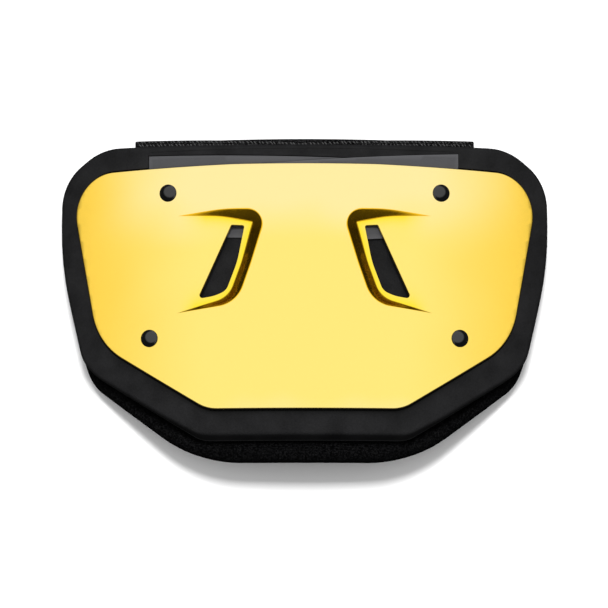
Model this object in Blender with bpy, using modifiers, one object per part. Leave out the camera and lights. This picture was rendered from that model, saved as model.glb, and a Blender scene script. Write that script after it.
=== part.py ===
"""Football back plate, lying on its padded back.

A hard shell with two stamped vents is riveted over a board of dense foam. Two crossed
webbing straps are trapped between them, in a shallow tray in the foam, and a fabric
covered pad lies behind the foam.

Every piece is laid out flat as (across, along, depth) and then bent round a cylinder
whose axis runs along +Y. Depth is measured inwards from the shell's outer face.
"""
import math

import bmesh
import bpy
from mathutils import Matrix, Vector
from mathutils.geometry import delaunay_2d_cdt

# Whole object
ARC_RADIUS = 0.360
GAP = 0.0003
ARC_STEP = math.radians(11)
STATION_ACROSS = 0.012
STATION_ALONG = 0.020
INNER_POINT_CLEARANCE = 0.0048
FILLET_REACH = 0.48
TOUCHING = 1e-6
SLIVER = 1e-9
FLAT_ANGLE = math.radians(0.1)
SHARP_ANGLE = math.radians(35)
EDGE_ROUNDING_STEPS = 2

# Hard shell, measured flat between the meeting points of its edges
PLATE_WIDTH = 0.3244
PLATE_HEIGHT = 0.1612
PLATE_THICKNESS = 0.0025

# Stamped vents
VENT_WIDTH = 0.0560
VENT_HEIGHT = 0.0669
VENT_DEPTH = 0.0055
VENT_SPACING = 0.0542
VENT_DROP = 0.0301
VENT_RAMP_CURVE = 1.4

# Foam board
FOAM_THICKNESS = 0.0130
FOAM_RIM = 0.0032
FOAM_SLANT = 0.0026
FOAM_SLANT_RIM = 0.0012
FOAM_SLANT_TOP = -0.0450
FOAM_SLANT_FADE = 0.0150
FOAM_SIDE_MARGIN = 0.0074
FOAM_TOP_MARGIN = 0.0135
FOAM_BOTTOM_MARGIN = 0.0199

# Straps and the tray that they lie in
STRAP_WIDTH = 0.0533
STRAP_THICKNESS = 0.0010
STRAP_TAIL = 0.0148
STRAP_OVERREACH = 0.0360
TRAY_LIP = 0.0046
TRAY_SIDE_CLEARANCE = 0.0005
TRAY_CORNER = 0.0018
TRAY_BELOW_VENT = 0.0040

# Pad behind the foam
PAD_THICKNESS = 0.0220
PAD_EDGE_THINNING = 0.0070
PAD_RIM = 0.0070
PAD_SIDE_INSET = 0.0046
PAD_TOP_REACH = 0.0072
PAD_BOTTOM_REACH = 0.0120
PAD_PRESSED_FLAT = 0.0030

# Rivets
RIVET_HEAD_RADIUS = 0.0055
RIVET_HEAD_HEIGHT = 0.0027
RIVET_SHANK_RADIUS = 0.0024
RIVET_TAIL_RADIUS = 0.0050
RIVET_TAIL_THICKNESS = 0.0020
RIVET_CLEARANCE = 0.0004
RIVET_SIDES = 16
RIVET_DOME_STEPS = 4

# Outlines of the right half, top to bottom: corner, share of the half width, share of
# the half height above (+) or below (-) the middle, fillet radius as a share of the
# half width
PLATE_CORNERS = (
    ("crown", 0.000, 0.997, 12.330),
    ("shoulder", 0.999, 0.950, 0.172),
    ("hip", 0.855, -0.445, 0.278),
    ("foot", 0.390, -0.995, 0.153),
)
FOAM_CORNERS = (
    ("crown", 0.000, 0.973, 11.792),
    ("shoulder_inner", 0.818, 1.000, 0.263),
    ("shoulder_outer", 0.998, 0.778, 0.220),
    ("side", 1.000, 0.196, 1.131),
    ("hip", 0.890, -0.523, 0.026),
    ("foot", 0.407, -0.991, 0.130),
)
PAD_CORNERS = (
    ("crown", 0.000, 0.966, 12.121),
    ("tab", 0.736, 1.000, 0.015),
    ("step", 0.736, 0.880, 0.048),
    ("shoulder", 0.990, 0.830, 0.182),
    ("side", 0.979, -0.374, 0.182),
    ("hip", 0.930, -0.546, 0.221),
    ("foot", 0.458, -1.005, 0.606),
)

# Vent outlines: point, share of the vent's width from its inner side, share of the
# vent's height from its top, fillet radius as a share of the vent's width
VENT_RIM = (
    ("upper_tip", 1.000, 0.070, 0.000),
    ("top", 0.460, 0.007, 2.000),
    ("inner_top", -0.069, 0.010, 0.205),
    ("inner_side", 0.132, 0.550, 1.000),
    ("inner_bottom", 0.294, 0.938, 0.348),
    ("lower_tip", 1.000, 1.021, 0.000),
)
VENT_FLOOR = (
    ("upper_tip", 1.000, 0.070, 0.000),
    ("top", 0.505, 0.080, 1.400),
    ("inner_top", 0.135, 0.135, 0.000),
    ("inner_side", 0.258, 0.520, 1.400),
    ("inner_bottom", 0.412, 0.864, 0.300),
    ("lower_tip", 1.000, 1.021, 0.000),
)
VENT_SLOT = (
    ("top_outer", 0.374, 0.165, 0.018),
    ("top_inner", 0.227, 0.170, 0.018),
    ("inner_side", 0.312, 0.520, 1.000),
    ("bottom_inner", 0.440, 0.800, 0.150),
    ("bottom", 0.576, 0.853, 0.500),
    ("bottom_outer", 0.760, 0.880, 0.030),
)

# Rivets on the right half: row, share of the plate's half width and half height
RIVET_ROWS = (
    ("upper", 0.554, 0.760),
    ("lower", 0.628, -0.417),
)
# Straps: name, side of its outer end, layer (0 lies nearest the shell), fall of its
# top edge for each metre towards the far side, share of its width that stands above
# the shell's top at the outer end
STRAPS = (
    ("strap_left", -1, 1, 0.028, 0.122),
    ("strap_right", 1, 0, 0.066, 0.1445),
)

# Names, colours, roughness and metallic value
FINISHES = {
    "hard_plate": ((0.95, 0.66, 0.10, 1.0), 0.12, 1.0),
    "foam_base": ((0.020, 0.020, 0.022, 1.0), 0.75, 0.0),
    "back_pad": ((0.010, 0.010, 0.011, 1.0), 0.95, 0.0),
    "strap": ((0.090, 0.090, 0.095, 1.0), 0.85, 0.0),
    "rivet": ((0.012, 0.012, 0.013, 1.0), 0.25, 0.0),
}

# Sizes that follow
PLATE_HALF = Vector((PLATE_WIDTH / 2, PLATE_HEIGHT / 2))
FOAM_FRONT = PLATE_THICKNESS + GAP
FOAM_BACK = FOAM_FRONT + FOAM_THICKNESS
FOAM_HALF_WIDTH = PLATE_HALF.x + FOAM_SIDE_MARGIN
FOAM_TOP = PLATE_HALF.y + FOAM_TOP_MARGIN
FOAM_BOTTOM = PLATE_HALF.y + FOAM_BOTTOM_MARGIN
PAD_FRONT = FOAM_BACK + GAP
PAD_HALF_WIDTH = FOAM_HALF_WIDTH - PAD_SIDE_INSET
PAD_TOP = FOAM_TOP + PAD_TOP_REACH
PAD_BOTTOM = FOAM_BOTTOM + PAD_BOTTOM_REACH
VENT_TOP = PLATE_HALF.y - VENT_DROP
VENT_INNER = VENT_SPACING / 2
VENT_OUTER = VENT_INNER + VENT_WIDTH
STRAP_PITCH = STRAP_THICKNESS + GAP
TRAY_DEPTH = len(STRAPS) * STRAP_PITCH
MIDDLE_ALONG = (PAD_TOP - PAD_BOTTOM) / 2


def pad_thickness(across):
    """The pad thins towards its sides."""
    return PAD_THICKNESS - PAD_EDGE_THINNING * (across / PAD_HALF_WIDTH) ** 2


def stand_height():
    """Height of the shell's crown when the pad's sides rest on a surface."""
    rest = PAD_HALF_WIDTH - PAD_RIM
    reach = ARC_RADIUS - PAD_FRONT - pad_thickness(rest)
    return ARC_RADIUS - reach * math.cos(rest / ARC_RADIUS) - PAD_PRESSED_FLAT


CROWN_HEIGHT = stand_height()


def wrap(across, along, depth):
    """Bend a flat place round the cylinder."""
    angle = across / ARC_RADIUS
    radius = ARC_RADIUS - depth
    height = CROWN_HEIGHT - ARC_RADIUS + radius * math.cos(angle)
    return Vector((radius * math.sin(angle), along - MIDDLE_ALONG, height))


def fillet(before, corner, after, radius):
    """Points of the arc that rounds one corner of an outline."""
    back = (before - corner).normalized()
    ahead = (after - corner).normalized()
    half = back.angle(ahead) / 2
    turn = math.pi - 2 * half
    if radius <= 0 or turn < FLAT_ANGLE:
        return [corner]
    shortest = min((before - corner).length, (after - corner).length)
    reach = min(radius / math.tan(half), shortest * FILLET_REACH)
    radius = reach * math.tan(half)
    centre = corner + (back + ahead).normalized() * (radius / math.sin(half))
    start = corner + back * reach - centre
    steps = max(1, math.ceil(turn / ARC_STEP))
    cross = back.x * ahead.y - back.y * ahead.x
    spin = turn if cross < 0 else -turn
    points = []
    for step in range(steps + 1):
        arm = start.copy()
        arm.rotate(Matrix.Rotation(spin * step / steps, 2))
        points.append(centre + arm)
    return points


def rounded(corners):
    """A closed outline from (place, radius) corners."""
    points = []
    for index, (place, radius) in enumerate(corners):
        before = corners[index - 1][0]
        after = corners[(index + 1) % len(corners)][0]
        points.extend(fillet(before, place, after, radius))
    return points


def spaced(loop, step):
    """An outline with extra points, so that no stretch is longer than a step."""
    points = []
    for index, here in enumerate(loop):
        ahead = loop[(index + 1) % len(loop)]
        count = max(1, math.ceil((ahead - here).length / step))
        points.extend(here.lerp(ahead, part / count) for part in range(count))
    return points


def both_halves(rows, half_width, top, bottom):
    """The whole outline, clockwise, from the rows of its right half."""
    right = []
    for _, across, along, fillet_share in rows:
        height = along * (top if along > 0 else bottom)
        right.append((Vector((across * half_width, height)), fillet_share * half_width))
    left = [(Vector((-place.x, place.y)), radius) for place, radius in reversed(right) if place.x > 0]
    return rounded(right + left)


def vent_outline(rows, side):
    """A vent's outline on one side of the shell."""
    corners = []
    for _, across, down, fillet_share in rows:
        place = Vector((side * (VENT_INNER + across * VENT_WIDTH), VENT_TOP - down * VENT_HEIGHT))
        corners.append((place, fillet_share * VENT_WIDTH))
    return rounded(corners)


def circle(centre, radius):
    """A round hole's outline."""
    points = []
    for step in range(RIVET_SIDES):
        angle = 2 * math.pi * step / RIVET_SIDES
        points.append(centre + Vector((math.cos(angle), math.sin(angle))) * radius)
    return points


def inside(point, loop):
    """Whether a point lies inside a closed outline."""
    found = False
    for index, here in enumerate(loop):
        last = loop[index - 1]
        if (here.y > point.y) != (last.y > point.y):
            crossing = last.x + (point.y - last.y) * (here.x - last.x) / (here.y - last.y)
            if point.x < crossing:
                found = not found
    return found


def clearance(point, loop):
    """Distance from a point to the nearest stretch of a closed outline."""
    nearest = math.inf
    for index, here in enumerate(loop):
        last = loop[index - 1]
        run = here - last
        share = max(0.0, min(1.0, (point - last).dot(run) / max(run.dot(run), TOUCHING ** 2)))
        nearest = min(nearest, (last + run * share - point).length)
    return nearest


def stations(reach, step):
    """Even places from -reach to +reach."""
    count = math.ceil(2 * reach / step)
    return [-reach + 2 * reach * index / count for index in range(count + 1)]


def rivet_places():
    """Name and flat place of each rivet."""
    places = []
    for row, across, along in RIVET_ROWS:
        for word, side in (("left", -1), ("right", 1)):
            place = Vector((side * across * PLATE_HALF.x, along * PLATE_HALF.y))
            places.append((row, f"rivet_{row}_{word}", place))
    return places


def vent_sink(across, along):
    """Depth of a vent's floor, from flush at its tips to full depth at its inner wall."""
    top_row, bottom_row = VENT_FLOOR[2], VENT_FLOOR[4]
    down = (VENT_TOP - along) / VENT_HEIGHT
    lean = (bottom_row[1] - top_row[1]) / (bottom_row[2] - top_row[2])
    wall = VENT_INNER + VENT_WIDTH * (top_row[1] + (down - top_row[2]) * lean)
    share = (VENT_OUTER - abs(across)) / (VENT_OUTER - wall)
    return VENT_DEPTH * max(0.0, min(1.0, share)) ** VENT_RAMP_CURVE


def strap_sink(along):
    """Extra depth that takes the straps and the tray's floor below the vents."""
    share = (PLATE_HALF.y - along) / (PLATE_HALF.y - VENT_TOP - GAP)
    return VENT_DEPTH * max(0.0, min(1.0, share))


def finish(name):
    """A plain material for one kind of piece."""
    material = bpy.data.materials.get(name) or bpy.data.materials.new(name)
    colour, roughness, metallic = FINISHES[name]
    material.use_nodes = True
    shader = material.node_tree.nodes["Principled BSDF"]
    shader.inputs["Base Color"].default_value = colour
    shader.inputs["Roughness"].default_value = roughness
    shader.inputs["Metallic"].default_value = metallic
    return material


def add_object(name, mesh, collection, material=None):
    """Link a mesh as a named object."""
    mesh.name = name
    item = bpy.data.objects.new(name, mesh)
    collection.objects.link(item)
    if material:
        mesh.materials.clear()
        mesh.materials.append(finish(material))
    return item


def slab(name, outline, thickness, rim, collection, material=None):
    """A flat board with its outer face up at half its thickness and rounded edges."""
    curve = bpy.data.curves.new(name, "CURVE")
    curve.dimensions = "2D"
    curve.fill_mode = "BOTH"
    curve.extrude = thickness / 2 - rim
    curve.bevel_depth = rim
    curve.bevel_resolution = EDGE_ROUNDING_STEPS
    curve.offset = -rim
    spline = curve.splines.new("POLY")
    spline.points.add(len(outline) - 1)
    for point, place in zip(spline.points, outline):
        point.co = (place.x, place.y, 0.0, 1.0)
    spline.use_cyclic_u = True
    source = bpy.data.objects.new(name + "_outline", curve)
    collection.objects.link(source)
    bpy.context.view_layer.update()
    evaluated = source.evaluated_get(bpy.context.evaluated_depsgraph_get())
    mesh = bpy.data.meshes.new_from_object(evaluated)
    bpy.data.objects.remove(source)
    bpy.data.curves.remove(curve)
    work = bmesh.new()
    work.from_mesh(mesh)
    bmesh.ops.remove_doubles(work, verts=work.verts, dist=TOUCHING)
    bmesh.ops.dissolve_limit(work, angle_limit=FLAT_ANGLE, verts=work.verts, edges=work.edges)
    bmesh.ops.recalc_face_normals(work, faces=work.faces)
    work.to_mesh(mesh)
    work.free()
    return add_object(name, mesh, collection, material)


def moved_in(outline, distances):
    """An outline, clockwise, with each point moved inwards by its own distance."""
    points = []
    for index, here in enumerate(outline):
        run_in = (here - outline[index - 1]).normalized()
        run_out = (outline[(index + 1) % len(outline)] - here).normalized()
        inward_in = Vector((run_in.y, -run_in.x))
        inward_out = Vector((run_out.y, -run_out.x))
        both = inward_in + inward_out
        points.append(here + both * (distances[index] / both.dot(inward_in)))
    return points


def foam_block(name, outline, collection):
    """The flat foam board: a rounded rim, and a slanted side along its lower edges."""
    face = FOAM_THICKNESS / 2
    shares = [min(1.0, max(0.0, (FOAM_SLANT_TOP - place.y) / FOAM_SLANT_FADE)) for place in outline]
    rims = [FOAM_RIM + (FOAM_SLANT_RIM - FOAM_RIM) * share for share in shares]
    rings = []
    for turn in (0.0, math.pi / 4, math.pi / 2):
        beside, below = 1 - math.sin(turn), 1 - math.cos(turn)
        insets = [rim * beside + FOAM_SLANT * share for rim, share in zip(rims, shares)]
        rings.append((insets, [face - rim * below for rim in rims]))
    for turn in (math.pi / 2, math.pi / 4, 0.0):
        beside, below = 1 - math.sin(turn), 1 - math.cos(turn)
        rings.append(([FOAM_RIM * beside] * len(outline), [FOAM_RIM * below - face] * len(outline)))
    work = bmesh.new()
    loops = []
    for insets, heights in rings:
        places = moved_in(outline, insets)
        loops.append([work.verts.new((place.x, place.y, height)) for place, height in zip(places, heights)])
    for upper, lower in zip(loops[:-1], loops[1:]):
        for index in range(len(outline)):
            last = index - 1
            work.faces.new((upper[last], upper[index], lower[index], lower[last]))
    work.faces.new(loops[0])
    work.faces.new(reversed(loops[-1]))
    bmesh.ops.recalc_face_normals(work, faces=work.faces)
    mesh = bpy.data.meshes.new(name)
    work.to_mesh(mesh)
    work.free()
    return add_object(name, mesh, collection, name)


def peg(name, place, radius, low, high, collection):
    """An upright cutter with the rivets' number of sides."""
    mesh = bpy.data.meshes.new(name)
    work = bmesh.new()
    matrix = Matrix.Translation((place.x, place.y, (low + high) / 2))
    bmesh.ops.create_cone(work, cap_ends=True, segments=RIVET_SIDES, radius1=radius,
                          radius2=radius, depth=high - low, matrix=matrix)
    work.to_mesh(mesh)
    work.free()
    return add_object(name, mesh, collection)


def carve(item, cutters):
    """Cut the flat piece, then drop the cutters."""
    for cutter in cutters:
        cutter.hide_render = True
        cutter.display_type = "WIRE"
        modifier = item.modifiers.new("cut_" + cutter.name, "BOOLEAN")
        modifier.operation = "DIFFERENCE"
        modifier.solver = "EXACT"
        modifier.object = cutter
    bpy.context.view_layer.update()
    evaluated = item.evaluated_get(bpy.context.evaluated_depsgraph_get())
    mesh = bpy.data.meshes.new_from_object(evaluated)
    item.modifiers.clear()
    item.data = mesh
    for cutter in cutters:
        bpy.data.objects.remove(cutter)


def bend(item, half_width, place, creases=()):
    """Slice the flat piece at even stations, then move each point to its bent place."""
    work = bmesh.new()
    work.from_mesh(item.data)
    planes = [(across, 0.0, Vector((1, 0, 0))) for across in stations(half_width, STATION_ACROSS)[1:-1]]
    planes += [(0.0, along, Vector((0, 1, 0))) for along in creases]
    for across, along, normal in planes:
        parts = work.verts[:] + work.edges[:] + work.faces[:]
        spot = (across, along, 0.0)
        bmesh.ops.bisect_plane(work, geom=parts, dist=TOUCHING, plane_co=spot, plane_no=normal)
    for vertex in work.verts:
        vertex.co = place(vertex.co)
    bmesh.ops.triangulate(work, faces=work.faces)
    work.to_mesh(item.data)
    work.free()
    item.data.shade_smooth()
    item.data.set_sharp_from_angle(angle=SHARP_ANGLE)


def build_plate(collection):
    """The stamped shell: a trimmed sheet with vents, given its thickness inwards."""
    outline = both_halves(PLATE_CORNERS, PLATE_HALF.x, PLATE_HALF.y, PLATE_HALF.y)
    rims = [vent_outline(VENT_RIM, side) for side in (-1, 1)]
    floors = [vent_outline(VENT_FLOOR, side) for side in (-1, 1)]
    holes = [vent_outline(VENT_SLOT, side) for side in (-1, 1)]
    hole_radius = RIVET_SHANK_RADIUS + RIVET_CLEARANCE
    holes += [circle(place, hole_radius) for _, _, place in rivet_places()]
    loops = [spaced(loop, STATION_ACROSS) for loop in [outline] + rims + floors + holes]
    points = []
    edges = []
    for loop in loops:
        first = len(points)
        points.extend(loop)
        edges.extend((first + index, first + (index + 1) % len(loop)) for index in range(len(loop)))
    for across in stations(PLATE_HALF.x, STATION_ACROSS):
        for along in stations(PLATE_HALF.y, STATION_ALONG):
            point = Vector((across, along))
            on_sheet = inside(point, outline) and not any(inside(point, hole) for hole in holes)
            in_vent = any(inside(point, rim) for rim in rims)
            on_wall = in_vent and not any(inside(point, low) for low in floors)
            is_clear = all(clearance(point, loop) > INNER_POINT_CLEARANCE for loop in loops)
            if on_sheet and is_clear and not on_wall:
                points.append(point)
    places, _, faces, _, _, _ = delaunay_2d_cdt(points, edges, [], 0, TOUCHING)
    work = bmesh.new()
    corners = []
    for place in places:
        on_floor = any(inside(place, low) or clearance(place, low) < TOUCHING for low in floors)
        on_rim = any(clearance(place, rim) < TOUCHING for rim in rims)
        depth = vent_sink(place.x, place.y) if on_floor and not on_rim else 0.0
        corners.append(work.verts.new(wrap(place.x, place.y, depth)))
    for face in faces:
        a, b, c = (places[index] for index in face)
        middle = (a + b + c) / 3
        on_sheet = inside(middle, outline) and not any(inside(middle, hole) for hole in holes)
        if on_sheet and abs((b - a).cross(c - a)) > SLIVER:
            work.faces.new([corners[index] for index in face])
    loose = [vertex for vertex in work.verts if not vertex.link_faces]
    bmesh.ops.delete(work, geom=loose, context="VERTS")
    bmesh.ops.recalc_face_normals(work, faces=work.faces)
    work.normal_update()
    if sum(face.normal.z for face in work.faces) < 0:
        bmesh.ops.reverse_faces(work, faces=work.faces)
    mesh = bpy.data.meshes.new("hard_plate")
    work.to_mesh(mesh)
    work.free()
    plate = add_object("hard_plate", mesh, collection, "hard_plate")
    shell = plate.modifiers.new("thickness", "SOLIDIFY")
    shell.thickness = PLATE_THICKNESS
    shell.offset = -1.0
    shell.use_even_offset = True
    mesh.shade_smooth()
    mesh.set_sharp_from_angle(angle=SHARP_ANGLE)
    return plate


def build_foam(collection, cutters):
    """The foam board, with the straps' tray and the rivets' holes."""
    outline = both_halves(FOAM_CORNERS, FOAM_HALF_WIDTH, FOAM_TOP, FOAM_BOTTOM)
    foam = foam_block("foam_base", outline, collection)
    face = FOAM_THICKNESS / 2
    floor = face - TRAY_DEPTH
    half = strap_end() + TRAY_SIDE_CLEARANCE
    top = FOAM_TOP - TRAY_LIP
    bottom = VENT_TOP - VENT_HEIGHT - TRAY_BELOW_VENT
    corners = [(half, top), (half, bottom), (-half, bottom), (-half, top)]
    outline = rounded([(Vector(corner), TRAY_CORNER) for corner in corners])
    tray = slab("tray", outline, FOAM_THICKNESS, 0.0, cutters)
    tray.location.z = floor + FOAM_THICKNESS / 2
    tools = [tray]
    sunk = RIVET_TAIL_THICKNESS + 2 * GAP
    for _, name, place in rivet_places():
        shank = RIVET_SHANK_RADIUS + RIVET_CLEARANCE
        tail = RIVET_TAIL_RADIUS + RIVET_CLEARANCE
        tools.append(peg(name + "_hole", place, shank, -FOAM_THICKNESS, FOAM_THICKNESS, cutters))
        tools.append(peg(name + "_seat", place, tail, -FOAM_THICKNESS, sunk - face, cutters))
    carve(foam, tools)

    def place(flat):
        depth = FOAM_FRONT + face - flat.z
        if abs(flat.z - floor) < TOUCHING:
            depth += strap_sink(flat.y)
        return wrap(flat.x, flat.y, depth)

    bend(foam, FOAM_HALF_WIDTH, place, (PLATE_HALF.y, VENT_TOP + GAP))
    return foam


def strap_end():
    """Distance of a strap's outer end from the middle."""
    return RIVET_ROWS[0][1] * PLATE_HALF.x + STRAP_TAIL


def build_strap(row, collection, cutters):
    """A webbing strap that runs from beyond its rivet to past the middle."""
    name, side, layer, fall, rise = row
    outer = side * strap_end()
    inner = -side * STRAP_OVERREACH
    top = PLATE_HALF.y + rise * STRAP_WIDTH
    drop = fall * abs(outer - inner)
    low = top - STRAP_WIDTH
    corners = [(outer, top), (outer, low), (inner, low - drop), (inner, top - drop)]
    outline = [Vector(corner) for corner in corners]
    strap = slab(name, outline, STRAP_THICKNESS, 0.0, collection, "strap")
    tools = []
    for level, rivet, place in rivet_places():
        if level == "upper" and place.x * side > 0:
            radius = RIVET_SHANK_RADIUS + RIVET_CLEARANCE
            tools.append(peg(rivet + "_eyelet", place, radius, -STRAP_THICKNESS, STRAP_THICKNESS, cutters))
    carve(strap, tools)
    front = FOAM_FRONT + layer * STRAP_PITCH

    def place_strap(flat):
        return wrap(flat.x, flat.y, front + STRAP_THICKNESS / 2 - flat.z + strap_sink(flat.y))

    bend(strap, FOAM_HALF_WIDTH, place_strap, (PLATE_HALF.y, VENT_TOP + GAP))
    return strap


def build_pad(collection):
    """The padded back, thinner at its sides and pressed flat where it rests."""
    outline = both_halves(PAD_CORNERS, PAD_HALF_WIDTH, PAD_TOP, PAD_BOTTOM)
    pad = slab("back_pad", outline, PAD_THICKNESS, PAD_RIM, collection, "back_pad")

    def place(flat):
        share = 0.5 - flat.z / PAD_THICKNESS
        spot = wrap(flat.x, flat.y, PAD_FRONT + share * pad_thickness(flat.x))
        spot.z = max(spot.z, 0.0)
        return spot

    bend(pad, FOAM_HALF_WIDTH, place)
    return pad


def build_rivet(name, place, collection):
    """A rivet with a domed head, a shank and a clinched tail, turned about its axis."""
    tail_back = FOAM_BACK - GAP
    tail_front = tail_back - RIVET_TAIL_THICKNESS
    dome = []
    for step in range(RIVET_DOME_STEPS + 1):
        angle = math.pi / 2 * (1 - step / RIVET_DOME_STEPS)
        dome.append((RIVET_HEAD_RADIUS * math.cos(angle), GAP + RIVET_HEAD_HEIGHT * math.sin(angle)))
    profile = [(0.0, dome[0][1])] + dome[1:]
    profile += [(RIVET_SHANK_RADIUS, GAP), (RIVET_SHANK_RADIUS, -tail_front)]
    profile += [(RIVET_TAIL_RADIUS, -tail_front), (RIVET_TAIL_RADIUS, -tail_back), (0.0, -tail_back)]
    mesh = bpy.data.meshes.new(name)
    edges = [(index, index + 1) for index in range(len(profile) - 1)]
    mesh.from_pydata([(radius, 0.0, height) for radius, height in profile], edges, [])
    rivet = add_object(name, mesh, collection, "rivet")
    turn = rivet.modifiers.new("turn", "SCREW")
    turn.steps = RIVET_SIDES
    turn.render_steps = RIVET_SIDES
    turn.use_merge_vertices = True
    turn.merge_threshold = TOUCHING
    turn.use_smooth_shade = True
    rivet.location = wrap(place.x, place.y, 0.0)
    rivet.rotation_euler = (0.0, place.x / ARC_RADIUS, 0.0)
    return rivet


def main():
    for item in list(bpy.data.objects):
        bpy.data.objects.remove(item)
    pieces = bpy.data.collections.new("football_back_plate")
    cutters = bpy.data.collections.new("cutters")
    bpy.context.scene.collection.children.link(pieces)
    bpy.context.scene.collection.children.link(cutters)
    build_plate(pieces)
    build_foam(pieces, cutters)
    for row in STRAPS:
        build_strap(row, pieces, cutters)
    build_pad(pieces)
    for _, name, place in rivet_places():
        build_rivet(name, place, pieces)


main()
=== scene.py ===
"""Looks of the football back plate: a stamped gold shell riveted over a foam board, two webbing
straps between them, and a knit-covered pad behind, lying on a pale studio floor.

Pieces are laid out flat as (across, along, depth) and bent round the same cylinder as the part.
Depth is measured inwards from the shell's outer face. Everything is in metres.
"""
import math

import bmesh
import bpy
import numpy as np
from bpy.props import FloatProperty, FloatVectorProperty, IntProperty, PointerProperty
from bpy.types import Operator, Panel, PropertyGroup
from mathutils import Matrix, Vector
from mathutils.geometry import delaunay_2d_cdt


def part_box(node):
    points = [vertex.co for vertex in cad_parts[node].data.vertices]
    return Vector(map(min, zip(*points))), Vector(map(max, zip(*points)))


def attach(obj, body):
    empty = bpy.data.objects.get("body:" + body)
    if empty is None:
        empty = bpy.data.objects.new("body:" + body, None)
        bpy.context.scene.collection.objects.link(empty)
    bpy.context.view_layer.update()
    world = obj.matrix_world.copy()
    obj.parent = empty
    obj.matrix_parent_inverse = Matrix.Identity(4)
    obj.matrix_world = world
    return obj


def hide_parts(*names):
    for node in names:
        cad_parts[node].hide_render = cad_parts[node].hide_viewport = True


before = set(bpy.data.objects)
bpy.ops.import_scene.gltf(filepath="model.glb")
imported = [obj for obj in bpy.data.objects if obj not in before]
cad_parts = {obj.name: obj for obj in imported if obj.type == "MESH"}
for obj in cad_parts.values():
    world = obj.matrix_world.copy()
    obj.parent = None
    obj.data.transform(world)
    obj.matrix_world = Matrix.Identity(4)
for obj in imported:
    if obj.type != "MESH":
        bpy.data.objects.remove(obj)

bl_info = {
    "name": "Football Back Plate",
    "version": (1, 0, 0),
    "blender": (4, 5, 0),
    "location": "3D View > Sidebar > Back Plate",
    "description": "Builds the shell, foam board, straps, pad and rivets of a football back plate",
    "category": "Add Mesh",
}

# Whole object
ARC_RADIUS = 0.360
GAP = 0.0003
MIDDLE_ALONG = -0.0056
CROWN_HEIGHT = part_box("hard_plate")[1].z
ARC_STEP = math.radians(4)
TOUCHING = 1e-7
FILLET_REACH = 0.48
STRAIGHT = 0.002
MITRE_LIMIT = 0.3
FOLDED = 0.97
SLIVER = 1e-11
RING_CLEAR = 0.4
OUTLINE_STEP = 0.6

# Hard shell
PLATE_HALF_WIDTH = 0.1622
PLATE_HALF_HEIGHT = 0.0806
PLATE_THICKNESS = 0.0025
VENT_WIDTH = 0.0560
VENT_HEIGHT = 0.0669
VENT_DEPTH = 0.0055
VENT_RAMP_CURVE = 1.4
VENT_INNER = 0.0271
VENT_TOP = PLATE_HALF_HEIGHT - 0.0301
SLOT_STEP = 0.0012
SHELL_CREASE = 50

# Walls of the vents: rows down the wall, rounding at the rim and the foot, and where the painted shade of
# the side walls starts below the vent's top
WALL_ROWS = (0.0, 0.06, 0.12, 0.5, 0.88, 0.94, 1.0)
WALL_ROUND = 0.12
WALL_POINTS = 120
WALL_LEAST = 0.0005
FLANK_SHADE_TOP = 0.004
FLANK_SHADE_FADE = 0.010
# Reach, fall and least sink of the painted reflection on the vents' floors beside the walls' foot
LIP_REACH = 0.0062
LIP_FALL = 1.3
LIP_SINK = 0.25

# Foam board and the straps' tray
FOAM_THICKNESS = 0.0130
FOAM_RIM = 0.0032
FOAM_SLANT = 0.0026
FOAM_PROUD = 0.0003
FOAM_SLANT_RIM = 0.0026
FOAM_FRONT = PLATE_THICKNESS + GAP
FOAM_BACK = FOAM_FRONT + FOAM_THICKNESS
FOAM_HALF_WIDTH = PLATE_HALF_WIDTH + 0.0074
FOAM_TOP = PLATE_HALF_HEIGHT + 0.0135
FOAM_BOTTOM = PLATE_HALF_HEIGHT + 0.0199
FOAM_RINGS = (0.0036, 0.0044, 0.0054)
SOFT_CREASE = 40
SLANT_TOP = -0.045
SLANT_FADE = 0.015
SLANT_FOOT = -0.086
SLANT_FOOT_FADE = 0.010

# Shallow bed in the foam under the shell's edge, and the painted shade beside it
BED_MARGIN = 0.0009
BED_WALL = 0.0003
BED_DEPTH = 0.0018
BED_SHADE = 0.0034
BED_REACH = 0.0020
BED_SLOPE = 0.0010
BED_SHADE_TOP = -0.045
BED_SHADE_FADE = 0.030
# Width of the painted highlight along the foam's back edge
EDGE_HIGHLIGHT = 0.0006

# Tray for the straps, which is shallow above them
TRAY_TOP = FOAM_TOP - 0.0046
TRAY_BOTTOM = VENT_TOP - VENT_HEIGHT - 0.0040
TRAY_CORNER = 0.0018
TRAY_SIDE_CLEARANCE = 0.0002
TRAY_SHALLOW = 0.0002
TRAY_WALL = 0.0002
TRAY_END = 0.0006
TRAY_STEP_FOOT = 0.0001
TRAY_STEP_TOP = 0.0003
TRAY_STEP = 0.0002
TRAY_POINTS = 90

# Straps
STRAP_WIDTH = 0.0533
STRAP_THICKNESS = 0.0010
STRAP_TAIL = 0.0148
STRAP_OVERREACH = 0.0360
RIGHT_STRAP_SHORTER = 0.0018
# Painted shadow on the left strap beside the right strap's upper edge: its width, span, points and reach
# below the edge
CROSSING_SHADE = 0.0007
CROSSING_SPAN = (-0.030, 0.027)
CROSSING_POINTS = 40
CROSSING_BELOW = 0.0005
PALE_EDGE = 0.0010
STRAP_EDGE = 0.2
STRAP_PITCH = STRAP_THICKNESS + GAP
TRAY_DEPTH = 2 * STRAP_PITCH

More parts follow.
